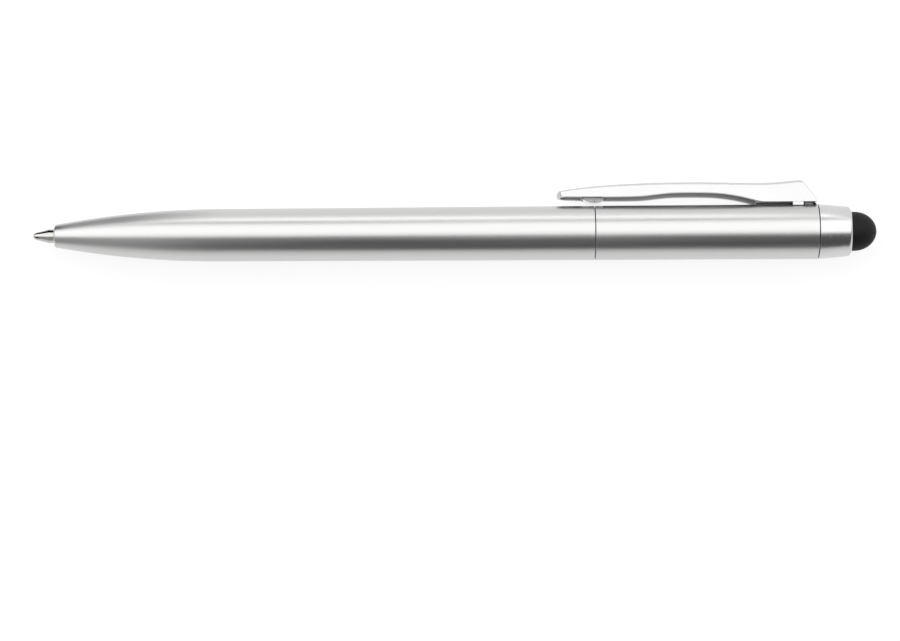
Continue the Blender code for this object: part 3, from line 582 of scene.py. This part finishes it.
def make_upper_barrel(material):
    """The rear barrel, with the slot for the clip's tab cut through its wall."""
    start = UPPER_START - SEAM_NARROWING
    end = UPPER_END + SEAM_NARROWING
    outline = [(start, BARREL_BORE / 2)]
    outline += front_corner(start, barrel_radius(UPPER_START), BARREL_EDGE_RADIUS)
    outline += rear_corner(end, barrel_radius(UPPER_END), BARREL_EDGE_RADIUS)
    outline.append((end, BARREL_BORE / 2))
    mesh = turned_mesh(outline, BARREL_SIDES)
    barrel = add_piece("upper_barrel_skin", mesh, [material], "upper", "satin_barrel", "upper_barrel")
    tab_end = CLIP_END - TAB_SETBACK + TAB_GAP
    tab_start = CLIP_END - TAB_SETBACK - TAB_LENGTH - TAB_GAP
    low = BARREL_BORE / 2 - CUT_OVERRUN
    high = REAR_DIAMETER / 2 + CUT_OVERRUN
    slot_mesh = block_mesh(tab_start, tab_end, low, high, TAB_WIDTH / 2 + TAB_GAP)
    cutter = add_piece("tab_slot_cutter", slot_mesh, [material], "upper", "satin_barrel")
    cutter.hide_render = True
    cutter.display_type = "WIRE"
    cut = barrel.modifiers.new("tab_slot", "BOOLEAN")
    cut.operation = "DIFFERENCE"
    cut.solver = "EXACT"
    cut.object = cutter


def make_end_cap(material):
    lip = DOME_DIAMETER / 2 + RUN_GAP
    lip_start = CAP_END - CAP_LIP_LENGTH
    start = CAP_START - SEAM_NARROWING
    outline = [(start, CAP_BORE / 2)]
    outline += front_corner(start, REAR_DIAMETER / 2, BARREL_EDGE_RADIUS)
    outline += rear_corner(CAP_END, CAP_END_DIAMETER / 2, CAP_SHOULDER_RADIUS)
    for step in range(CORNER_STEPS + 1):
        angle = math.pi / 2 * step / CORNER_STEPS
        along = CAP_LIP_RADIUS * (1 - math.cos(angle))
        out = CAP_LIP_RADIUS * (1 - math.sin(angle))
        outline.append((CAP_END - along, lip + out))
    outline += [(lip_start, lip), (lip_start, CAP_BORE / 2)]
    mesh = turned_mesh(outline, BARREL_SIDES)
    add_piece("end_cap_skin", mesh, [material], "upper", "bright_cap", "end_cap")


def dome_arc(radius, length):
    """A quarter of an ellipse from the dome's side to its pole."""
    start = PEN_END - DOME_ROUND_LENGTH
    points = []
    for step in range(DOME_STEPS):
        angle = math.pi / 2 * step / DOME_STEPS
        points.append((start + length * math.sin(angle), radius * math.cos(angle)))
    return points + [(start + length, 0)]


def make_stylus_tip(material):
    """The hollow dome, with the flange that the cap's lip holds."""
    hollow = DOME_DIAMETER / 2 - DOME_WALL
    flange = DOME_FLANGE_DIAMETER / 2
    flange_end = CAP_END - CAP_LIP_LENGTH - RUN_GAP
    flange_start = flange_end - DOME_FLANGE_LENGTH
    outline = dome_arc(hollow, DOME_ROUND_LENGTH - DOME_WALL)
    outline.reverse()
    outline += [(flange_start, hollow), (flange_start, flange)]
    outline += [(flange_end, flange), (flange_end, DOME_DIAMETER / 2)]
    outline += dome_arc(DOME_DIAMETER / 2, DOME_ROUND_LENGTH)
    mesh = turned_mesh(outline, BARREL_SIDES)
    add_piece("stylus_dome", mesh, [material], "upper", "black_rubber", "stylus_tip")


# The refill's point and the small round pieces


def make_refill_point(material):
    """The polished point holder, closed over its ball."""
    shank = POINT_SHANK_DIAMETER / 2
    ball = BALL_DIAMETER / 2
    socket = ball + SOCKET_GAP
    lip_angle = math.acos(1 - 2 * BALL_SHOW_SHARE)
    feed_angle = math.radians(BALL_SEAT_DEGREES)
    outline = []
    for step in range(CORNER_STEPS + 1):
        angle = feed_angle + (lip_angle - feed_angle) * step / CORNER_STEPS
        outline.append((ball - socket * math.cos(angle), socket * math.sin(angle)))
    outline.append((outline[-1][0], outline[-1][1] + SOCKET_GAP))
    outline += [(POINT_LENGTH * along, shank * out) for along, out in POINT_SHARES]
    shank_end = POINT_LENGTH + POINT_SHANK_LENGTH
    stub = POINT_STUB_DIAMETER / 2
    channel = INK_CHANNEL_DIAMETER / 2
    outline += front_corner(POINT_LENGTH, shank, SOCKET_GAP)
    outline += [(shank_end, shank), (shank_end, stub)]
    outline += [(shank_end + POINT_STUB_LENGTH, stub), (shank_end + POINT_STUB_LENGTH, channel)]
    outline += [(POINT_LENGTH, channel), (POINT_LENGTH - channel, outline[0][1])]
    mesh = turned_mesh(outline, SMALL_SIDES)
    add_piece("refill_point", mesh, [material], "refill", "nickel_point", "refill_tip")


def make_ball(material):
    radius = BALL_DIAMETER / 2
    mesh = bmesh.new()
    bmesh.ops.create_uvsphere(mesh, u_segments=BALL_SIDES, v_segments=BALL_RINGS, radius=radius)
    bmesh.ops.translate(mesh, verts=mesh.verts, vec=(at(radius), 0, 0))
    add_piece("rolling_ball", mesh, [material], "ball", "hard_ball", "writing_ball")


def make_spring(material):
    """The return spring, with closed end curls, between the barrel and the refill."""
    steps = SPRING_TURNS * SPRING_STEPS
    start = SPRING_START + SPRING_WIRE / 2
    length = SPRING_END - SPRING_START - SPRING_WIRE
    dead_length = SPRING_WIRE * SPRING_DEAD_TURNS * SPRING_DEAD_PITCH_SHARE
    open_turns = SPRING_TURNS - 2 * SPRING_DEAD_TURNS
    pitch = (length - 2 * dead_length) / open_turns
    coil = (SPRING_DIAMETER - SPRING_WIRE) / 2
    rings = []
    for step in range(steps + 1):
        turn = step / SPRING_STEPS
        along = dead_length * min(turn / SPRING_DEAD_TURNS, 1)
        along += pitch * min(max(turn - SPRING_DEAD_TURNS, 0), open_turns)
        along += dead_length * max((turn - SPRING_TURNS) / SPRING_DEAD_TURNS + 1, 0)
        angle = 2 * math.pi * turn
        out = Vector((0, math.cos(angle), math.sin(angle)))
        centre = Vector((at(start + along), 0, 0)) + out * coil
        ring = []
        for side in range(WIRE_SIDES):
            around = 2 * math.pi * side / WIRE_SIDES
            wire = Vector((math.sin(around), 0, 0)) + out * math.cos(around)
            ring.append(centre + wire * (SPRING_WIRE / 2))
        rings.append(ring)
    spring = place_mesh("return_spring_wire", ringed_mesh(rings, closed=False), [material])
    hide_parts("return_spring")
    middle = PEN.translation
    ends = [(at(station), middle.y, middle.z) for station in (SPRING_START, SPRING_END)]
    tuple(ends[0])
    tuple(ends[1])
    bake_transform(spring)


def make_friction_ring(material):
    low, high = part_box("friction_ring")
    station = (low.x + high.x) / 2 - POINT_X
    wire = RING_WIRE / 2
    centre = (high.z - low.z) / 2 - wire
    outline = []
    for step in range(WIRE_SIDES):
        angle = 2 * math.pi * step / WIRE_SIDES
        outline.append((station + wire * math.cos(angle), centre + wire * math.sin(angle)))
    mesh = turned_mesh(outline, SMALL_SIDES)
    add_piece("friction_ring_fine", mesh, [material], "lower", "black_rubber", "friction_ring")


def make_sleeve_collar(material):
    """The drive sleeve's collar between the two barrels, which shows as the dark line at their seam."""
    start = INSERT_END + RUN_GAP / 2
    end = HOUSING_START - RUN_GAP / 2
    outer = BARREL_BORE / 2 - RUN_GAP / 2
    outline = [(start, SLEEVE_RADIUS)]
    outline += front_corner(start, outer, BARREL_EDGE_RADIUS)
    outline += rear_corner(end, outer, BARREL_EDGE_RADIUS)
    outline.append((end, SLEEVE_RADIUS))
    mesh = turned_mesh(outline, BARREL_SIDES)
    add_piece("sleeve_collar", mesh, [material], "lower", "black_plastic")


# The clip


def clip_height(station):
    """Top of the crown; it stays inside the solid's, whose arc is divided more coarsely."""
    share = (station - CLIP_START) / CLIP_LENGTH
    return CLIP_BASE + CLIP_RISE * smooth_line(CLIP_TOP_SHARES, share) - CROWN_EASE


def wall_height(station):
    """Lower rim of the side walls."""
    share = (station - CLIP_START) / CLIP_LENGTH
    return CLIP_BASE + CLIP_RISE * smooth_line(CLIP_WALL_SHARES, share)


def clip_profile(station, inset, low, tuck_start):
    """Half of one section, from the rim of a side wall up and over to the middle: (height, side)."""
    share = (station - CLIP_START) / CLIP_LENGTH
    full = CLIP_WIDTH / 2 * smooth_line(CLIP_WIDTH_SHARES, share)
    from_tip = station - CLIP_START - inset
    fade = min(max(1 - from_tip / (CLIP_TIP_RADIUS - inset), 0), 1)
    half = (full - inset) * math.sqrt(1 - fade**2)
    tuck = min(max(1 - (station - tuck_start) / CLIP_FRONT_DEPTH, 0), 1)
    top = clip_height(station) - inset - CLIP_FRONT_DEPTH * (1 - math.sqrt(1 - tuck**2))
    arc = CLIP_CROWN_RADIUS - inset
    corner = min(CLIP_CORNER, half / 2)
    rise = top - arc

    def crown(side):
        return rise + math.sqrt(arc**2 - side**2)

    points = [Vector((low, half))]
    points += bend_points(
        Vector((crown(half) - corner, half)),
        Vector((crown(half), half)),
        Vector((crown(half - corner), half - corner)),
    )
    for step in range(1, CROWN_STEPS + 1):
        side = (half - corner) * (1 - step / CROWN_STEPS)
        points.append(Vector((crown(side), side)))
    return points, half


def slope_height(station, inset):
    """Height of the flat back slope at a station, moved in by an inset."""
    steep = CLIP_SLOPE_DROP / CLIP_SLOPE_LENGTH
    ridge = CLIP_END - CLIP_SLOPE_LENGTH
    return CLIP_TOP - (station - ridge) * steep - inset * math.hypot(1, steep)


def on_slope(point, station, inset, half=None):
    """Moves a point that stands above the back slope down onto it, or onto its rounded edge."""
    edge = 0
    if half:
        past = max(point.y - half + CLIP_CORNER, 0)
        edge = CLIP_CORNER - math.sqrt(CLIP_CORNER**2 - min(past, CLIP_CORNER) ** 2)
    return Vector((min(point.x, slope_height(station, inset + edge)), point.y))


def in_section(points, station):
    """Moves (height, side) points into the section at a station."""
    return [Vector((at(station), point.x, point.y)) for point in points]


def clip_ring(outer_station, inner_station):
    """One section of the pressed sheet: its outer face, its lower rims and its inner face."""
    outer_low = wall_height(outer_station)
    inner_low = wall_height(inner_station)
    inner_start = CLIP_START + CLIP_SHEET
    outer, outer_half = clip_profile(outer_station, 0, outer_low + CLIP_RIM, CLIP_START)
    inner, inner_half = clip_profile(inner_station, CLIP_SHEET, inner_low + CLIP_RIM, inner_start)
    outer = [outer[0]] + [on_slope(point, outer_station, 0, outer_half) for point in outer[1:]]
    inner = [on_slope(point, inner_station, CLIP_SHEET) for point in inner]
    rim_side = min(CLIP_RIM, (outer_half - inner_half) / 2)
    outer_rim = bend_points(
        Vector((outer_low + CLIP_RIM, outer_half)),
        Vector((outer_low, outer_half)),
        Vector((outer_low, outer_half - rim_side)),
    )[1:]
    inner_rim = bend_points(
        Vector((inner_low, inner_half + rim_side)),
        Vector((inner_low, inner_half)),
        Vector((inner_low + CLIP_RIM, inner_half)),
    )[:-1]
    ring = in_section(reversed(outer), outer_station) + in_section(outer_rim, outer_station)
    ring += in_section(inner_rim, inner_station) + in_section(inner, inner_station)
    mirror = Vector((1, 1, -1))
    return ring + [point * mirror for point in reversed(ring[1:-1])]


def clip_stations(start, end):
    """Close stations round the tip, then even ones, with extra ones at the ridge of the back slope."""
    stations = []
    for step in range(CLIP_TIP_STEPS + 1):
        angle = math.pi / 2 * step / CLIP_TIP_STEPS
        stations.append(start + CLIP_TIP_RADIUS * (1 - math.cos(angle)))
    straight = end - start - CLIP_TIP_RADIUS
    for step in range(1, CLIP_STEPS + 1):
        stations.append(start + CLIP_TIP_RADIUS + straight * step / CLIP_STEPS)
    ridge = CLIP_END - CLIP_SLOPE_LENGTH
    for step in RIDGE_STEPS:
        stations.append(ridge + CLIP_RIDGE_RADIUS * (RIDGE_STEP_SHARE * step + RIDGE_SHIFT_SHARE))
    return sorted(stations)


def make_clip(bright, inside):
    """The pressed clip: a sheet arched over its crown, with two side walls and a flat back slope."""
    outer = clip_stations(CLIP_START, CLIP_END)
    inner = clip_stations(CLIP_START + CLIP_SHEET, CLIP_END)
    rings = [clip_ring(*pair) for pair in zip(outer, inner)]
    outer_points = 1 + (SMALL_CORNER_STEPS + 1) + CROWN_STEPS
    first_inner = outer_points + 2 * SMALL_CORNER_STEPS
    last_inner = len(rings[0]) - first_inner

    def material_of(index):
        return 1 if first_inner < index <= last_inner else 0

    mesh = ringed_mesh(rings, closed=False, material_of=material_of)
    add_piece("clip_sheet", mesh, [bright, inside], "clip", "bright_clip", "clip")


def make_nub(painted_light_metal, dark):
    """The gripping nub: a smooth bulge below the crown, close to the barrel. Its upper flanks carry
    painted shade, a dark copy of its metal, and its lower face painted light, a bright copy.
    """
    start = CLIP_START + NUB_START
    low = CLIP_BASE + NUB_GAP
    roof = clip_height(start + NUB_LENGTH / 2) - CLIP_SHEET
    roof_ends = (start + NUB_LENGTH + NUB_FLARE, start - NUB_FLARE)
    rings = []
    for step in range(NUB_STEPS + 1):
        side = -math.cos(math.pi * step / NUB_STEPS)
        lift = smooth_line(NUB_SIDE_SHARES, abs(side))
        out = side * NUB_WIDTH / 2
        ring = []
        for stride in range(NUB_STEPS + 1):
            along = (1 - math.cos(math.pi * stride / NUB_STEPS)) / 2
            up = smooth_line(NUB_SHARES, along)
            raised = up + lift * (1 - up)
            ring.append((at(start + NUB_LENGTH * along), low + (roof - low) * raised, out))
        ring += [(at(station), roof, out) for station in roof_ends]
        rings.append(ring)
    mesh = ringed_mesh(rings, closed=False)
    # Painted shade: faces high on the flanks, under the side walls, take the dark copy of the nub's
    # metal; the lower faces take the bright, painted-light copy.
    for face in mesh.faces:
        face.material_index = 1 if face.calc_center_median().y > low + NUB_PAINTED_SHADE_HEIGHT else 0
    add_piece("clip_nub", mesh, [painted_light_metal, dark], "clip", "bright_clip")


def bevel_edges(mesh):
    """Rounds every edge of a small block a little."""
    bmesh.ops.bevel(
        mesh,
        geom=list(mesh.edges),
        offset=FOOT_BEVEL,
        segments=FOOT_BEVEL_STEPS,
        profile=0.5,
        affect="EDGES",
    )


def make_foot(material):
    """The foot that closes the clip's rear end from below, its two pads and the tab into the barrel."""
    barrel = REAR_DIAMETER / 2
    front = CLIP_END - CLIP_FOOT_LENGTH
    heel = CLIP_END - HEEL_PAD_LENGTH
    rear = CLIP_END - CLIP_SHEET / 2
    floor = barrel + CLIP_SHEET
    foot_side = (CLIP_WIDTH - CLIP_SHEET) / 2
    pad_low = barrel + RUN_GAP
    pad_high = floor + FOOT_BEVEL
    pad_side = FOOT_WIDTH / 2
    tab_end = CLIP_END - TAB_SETBACK
    tab_low = BARREL_BORE / 2 - TAB_DEPTH + TAB_GAP
    blocks = (
        ("clip_foot", front, rear, floor, floor + CLIP_SHEET, foot_side),
        ("clip_front_pad", front, front + FOOT_PAD_LENGTH, pad_low, pad_high, pad_side),
        ("clip_heel_pad", heel, rear, pad_low, pad_high, pad_side),
        ("clip_tab", tab_end - TAB_LENGTH, tab_end, tab_low, floor, TAB_WIDTH / 2),
    )
    for name, *limits in blocks:
        mesh = block_mesh(*limits)
        bevel_edges(mesh)
        add_piece(name, mesh, [material], "clip", "bright_clip")


def make_legs(material):
    """Two short legs that carry on from the side walls, between the pads, down to the barrel's curve."""
    inner = FOOT_WIDTH / 2 - RUN_GAP
    outer = CLIP_WIDTH / 2 - LEG_INSET
    clear = REAR_DIAMETER / 2 + RUN_GAP
    top = REAR_DIAMETER / 2 + CLIP_SHEET * FOOT_MIDDLE_SHARE
    start = CLIP_END - CLIP_FOOT_LENGTH + FOOT_PAD_LENGTH - LEG_OVERLAP
    end = CLIP_END - HEEL_PAD_LENGTH + LEG_OVERLAP
    corners = [(top, inner), (top, outer)]
    corners += [(math.sqrt(clear**2 - out**2), out) for out in (outer, inner)]
    for name, side in (("clip_leg_1", 1), ("clip_leg_2", -1)):
        rings = []
        for station in (start, end):
            rings.append([(at(station), height, side * out) for height, out in corners])
        mesh = ringed_mesh(rings, closed=False)
        bevel_edges(mesh)
        add_piece(name, mesh, [material], "clip", "bright_clip")


def dress_inner_pieces(materials):
    """Gives the pieces inside their materials; their shapes stay as they are."""
    for name, material in materials.items():
        mesh = frame["nodes"][name].data
        mesh.materials.clear()
        mesh.materials.append(material)


# The stage

FLOOR_RADIUS = 2.0
FLOOR_SIDES = 96
RIM_BEND_RADIUS = 0.35
RIM_BEND_STEPS = 12
RIM_HEIGHT = 0.75
PAPER_TONE = 0.8
SEEN_PAPER_TONE = 0.22
SEEN_PAPER_GLOW = 0.85
ROOM_TONE = 0.085
LAMP_DISTANCE = 0.70
CARD_DISTANCE = 0.009
CARD_HEIGHT = 0.008
POINT_CARD_START = -0.015
POINT_CARD_FADE_START = 0.0018
POINT_CARD_END = 0.0024
POINT_CARD_OPACITY = 1.0
NOSE_CARD_FADE_START = 0.0125
NOSE_CARD_END = 0.031
NOSE_CARD_OPACITY = 0.58
CAMERA_DISTANCE = 0.50
CAMERA_NEAR = 0.01
CAMERA_FAR = 20.0
CAMERA_TILT_DEGREES = 7.4
CAMERA_ROLL_DEGREES = 0.35
SENSOR_WIDTH = 0.036
MILLIMETRES = 1000

# The photograph's frame, in its pixels
IMAGE_WIDTH = 900
IMAGE_HEIGHT = 641
PIXELS_PER_METRE = 6020.0
POINT_PIXEL_X = 33.5
AXIS_PIXEL_Y = 233.8


def floor_material():
    """Pale paper. The camera and metal see it almost white, with the object's shadow still on it."""
    material = bpy.data.materials.new("pale_floor")
    material.use_nodes = True
    tree = material.node_tree
    tree.nodes.clear()
    output = tree.nodes.new("ShaderNodeOutputMaterial")
    plain = tree.nodes.new("ShaderNodeBsdfDiffuse")
    plain.inputs["Color"].default_value = (PAPER_TONE, PAPER_TONE, PAPER_TONE, 1.0)
    seen = tree.nodes.new("ShaderNodeBsdfDiffuse")
    seen.inputs["Color"].default_value = (SEEN_PAPER_TONE, SEEN_PAPER_TONE, SEEN_PAPER_TONE, 1.0)
    glow = tree.nodes.new("ShaderNodeEmission")
    glow.inputs["Strength"].default_value = SEEN_PAPER_GLOW
    both = tree.nodes.new("ShaderNodeAddShader")
    tree.links.new(seen.outputs[0], both.inputs[0])
    tree.links.new(glow.outputs[0], both.inputs[1])
    path = tree.nodes.new("ShaderNodeLightPath")
    either = tree.nodes.new("ShaderNodeMath")
    either.operation = "ADD"
    tree.links.new(path.outputs["Is Camera Ray"], either.inputs[0])
    tree.links.new(path.outputs["Is Glossy Ray"], either.inputs[1])
    any_of = tree.nodes.new("ShaderNodeMath")
    any_of.operation = "ADD"
    any_of.use_clamp = True
    tree.links.new(either.outputs[0], any_of.inputs[0])
    tree.links.new(path.outputs["Is Transmission Ray"], any_of.inputs[1])
    choice = tree.nodes.new("ShaderNodeMixShader")
    tree.links.new(any_of.outputs[0], choice.inputs[0])
    tree.links.new(plain.outputs[0], choice.inputs[1])
    tree.links.new(both.outputs[0], choice.inputs[2])
    tree.links.new(choice.outputs[0], output.inputs["Surface"])
    return material


def make_floor():
    """A round floor that curves up into a low wall all round."""
    profile = [(0.0, 0.0)]
    for step in range(RIM_BEND_STEPS + 1):
        angle = math.pi / 2 * step / RIM_BEND_STEPS
        out = FLOOR_RADIUS - RIM_BEND_RADIUS + RIM_BEND_RADIUS * math.sin(angle)
        profile.append((out, RIM_BEND_RADIUS * (1 - math.cos(angle))))
    profile.append((FLOOR_RADIUS, RIM_HEIGHT))
    mesh_data = bmesh.new()
    rows = []
    for out, up in profile:
        row = []
        for side in range(FLOOR_SIDES):
            angle = 2 * math.pi * side / FLOOR_SIDES
            row.append(mesh_data.verts.new((out * math.cos(angle), out * math.sin(angle), up)))
        rows.append(row)
    for row, following in zip(rows, rows[1:]):
        for index in range(FLOOR_SIDES):
            behind = index - 1
            mesh_data.faces.new((row[behind], row[index], following[index], following[behind]))
    mesh = finished_mesh("floor", mesh_data)
    mesh.materials.append(floor_material())
    floor = bpy.data.objects.new("floor", mesh)
    bpy.context.scene.collection.objects.link(floor)


def softbox(name, band, forward_degrees, length, radiance, shift=0.0):
    """A long lamp over the pen. It spans a band of tilts, in degrees, and stands turned forward."""
    low, high = band
    tilt = math.radians((low + high) / 2)
    forward = math.radians(forward_degrees)
    width = 2 * LAMP_DISTANCE * math.tan(math.radians(high - low) / 2)
    data = bpy.data.lights.new(name, "AREA")
    data.shape = "RECTANGLE"
    data.size = length
    data.size_y = width
    data.energy = radiance * length * width * math.pi
    lamp = bpy.data.objects.new(name, data)
    ahead = math.sin(forward)
    level = math.cos(forward)
    back = Vector((-ahead, math.sin(tilt) * level, math.cos(tilt) * level))
    along = Vector((level, math.sin(tilt) * ahead, math.cos(tilt) * ahead))
    turn = Matrix((along, back.cross(along), back)).transposed().to_4x4()
    lamp.matrix_world = Matrix.Translation(back * LAMP_DISTANCE + along * shift) @ turn
    lamp.visible_camera = False
    bpy.context.scene.collection.objects.link(lamp)


def make_lights():
    """A big softbox above the clip's side, a low strip beside it and weaker panels at both ends."""
    softbox("main_softbox", (-0.5, 55.5), forward_degrees=0.0, length=2.8, radiance=1.65)
    softbox("low_strip", (67.5, 83.5), forward_degrees=0.0, length=0.36, radiance=1.5, shift=0.01)
    softbox("front_fill", (53.0, 70.0), forward_degrees=38.0, length=0.60, radiance=1.0)
    softbox("rear_fill", (53.0, 70.0), forward_degrees=-38.0, length=0.60, radiance=1.0)
    softbox("front_panel", (-66.0, -2.0), forward_degrees=26.0, length=0.30, radiance=0.38)
    world = bpy.data.worlds.new("studio")
    bpy.context.scene.world = world
    world.use_nodes = True
    background = world.node_tree.nodes["Background"]
    background.inputs["Color"].default_value = (ROOM_TONE, ROOM_TONE, ROOM_TONE, 1.0)
    background.inputs["Strength"].default_value = 1.0


def card_material(name, opacity, fade_start, end):
    """Black, fading out along the pen between two stations."""
    material, tree, shader = new_material(name, (0.0, 0.0, 0.0), metallic=0.0, roughness=1.0)
    shader.inputs["Specular IOR Level"].default_value = 0.0
    place = tree.nodes.new("ShaderNodeTexCoord")
    split = tree.nodes.new("ShaderNodeSeparateXYZ")
    fade = tree.nodes.new("ShaderNodeMapRange")
    fade.inputs["From Min"].default_value = at(fade_start)
    fade.inputs["From Max"].default_value = at(end)
    fade.inputs["To Min"].default_value = opacity
    fade.inputs["To Max"].default_value = 0.0
    tree.links.new(place.outputs["Object"], split.inputs[0])
    tree.links.new(split.outputs["X"], fade.inputs["Value"])
    tree.links.new(fade.outputs["Result"], shader.inputs["Alpha"])
    return material


def dark_card(name, start, end, opacity, fade_start):
    """A dark card that stands beside the pen on the clip's side and shows only in reflections."""
    y = PEN.translation.y + CARD_DISTANCE
    low, high = 0.0, CARD_HEIGHT
    corners = [(at(start), y, low), (at(end), y, low), (at(end), y, high), (at(start), y, high)]
    mesh = bpy.data.meshes.new(name)
    mesh.from_pydata(corners, [], [(0, 1, 2, 3)])
    mesh.materials.append(card_material(name, opacity, fade_start, end))
    card = bpy.data.objects.new(name, mesh)
    card.visible_camera = False
    card.visible_diffuse = False
    card.visible_transmission = False
    card.visible_shadow = False
    bpy.context.scene.collection.objects.link(card)


def make_cards():
    """They draw the black edge along the refill's point and the grey one along the nose."""
    dark_card(
        "point_card",
        POINT_CARD_START,
        POINT_CARD_END,
        POINT_CARD_OPACITY,
        POINT_CARD_FADE_START,
    )
    dark_card(
        "nose_card",
        POINT_CARD_END,
        NOSE_CARD_END,
        NOSE_CARD_OPACITY,
        NOSE_CARD_FADE_START,
    )


def make_camera():
    """Almost straight above the pen, as the photograph was taken, a little to the clip's side."""
    data = bpy.data.cameras.new("camera")
    data.sensor_width = SENSOR_WIDTH * MILLIMETRES
    data.lens = SENSOR_WIDTH * MILLIMETRES * CAMERA_DISTANCE * PIXELS_PER_METRE / IMAGE_WIDTH
    data.clip_start = CAMERA_NEAR
    data.clip_end = CAMERA_FAR
    camera = bpy.data.objects.new("camera", data)
    tilt = math.radians(CAMERA_TILT_DEGREES)
    roll = math.radians(CAMERA_ROLL_DEGREES)
    level = Vector((1, 0, 0))
    back = Vector((0, math.sin(tilt), math.cos(tilt)))
    steep = Vector((0, math.cos(tilt), -math.sin(tilt)))
    right = level * math.cos(roll) - steep * math.sin(roll)
    up = level * math.sin(roll) + steep * math.cos(roll)
    point = PEN @ Vector((POINT_X, 0, 0))
    point_to_middle = IMAGE_WIDTH / 2 - POINT_PIXEL_X
    across = point_to_middle / PIXELS_PER_METRE
    axis_pixel = AXIS_PIXEL_Y + point_to_middle * math.tan(roll)
    down = (IMAGE_HEIGHT / 2 - axis_pixel) / PIXELS_PER_METRE
    aim = point + right * across - up * down
    turn = Matrix((right, up, back)).transposed().to_4x4()
    camera.matrix_world = Matrix.Translation(aim + back * CAMERA_DISTANCE) @ turn
    bpy.context.scene.collection.objects.link(camera)
    bpy.context.scene.camera = camera
    bpy.context.scene.view_settings.view_transform = "Standard"


def build():
    satin = satin_metal()
    steel = drawn_wire("spring_steel", (0.55, 0.55, 0.56))
    rubber = black_rubber()
    plastic = moulded_plastic("black_plastic", (0.03, 0.03, 0.03), 0.32, 0.45)
    brass = turned_metal("brass", (0.78, 0.60, 0.28), 0.22, 0.34)
    inside = pressed_metal("clip_inside_metal", 0.50)
    bright = clip_metal()
    make_lower_barrel(satin)
    make_upper_barrel(satin)
    make_end_cap(cap_metal())
    make_stylus_tip(rubber)
    make_refill_point(turned_metal("nickel_point", (0.52, 0.51, 0.49), 0.07, 0.12))
    make_ball(turned_metal("carbide_ball", (0.35, 0.35, 0.36), 0.08, 0.14))
    make_clip(bright, inside)
    # The nub's two metals are painted light on its lower face and painted shade on its upper flanks.
    make_nub(nub_painted_light_metal(), pressed_metal("nub_painted_shade_metal", 0.32))
    make_foot(inside)
    make_legs(bright)
    make_spring(steel)
    make_friction_ring(rubber)
    make_sleeve_collar(plastic)
    dress_inner_pieces(
        {
            "nose_bush": plastic,
            "refill_tube": moulded_plastic("tube_plastic", (0.82, 0.84, 0.85), 0.22, 0.34),
            "ink_column": moulded_plastic("blue_ink", (0.01, 0.02, 0.18), 0.1, 0.2),
            "grease_plug": moulded_plastic("clear_grease", (0.80, 0.76, 0.55), 0.15, 0.3),
            "refill_carrier": plastic,
            "cross_pin": steel,
            "drive_sleeve": plastic,
            "mechanism_housing": turned_metal("housing_steel", (0.55, 0.55, 0.56), 0.24, 0.36),
            "retaining_ring": steel,
            "barrel_insert": brass,
            "end_plug": plastic,
            "stylus_stem": brass,
            "stylus_collar": brass,
        }
    )
    make_floor()
    make_lights()
    make_cards()
    make_camera()


build()
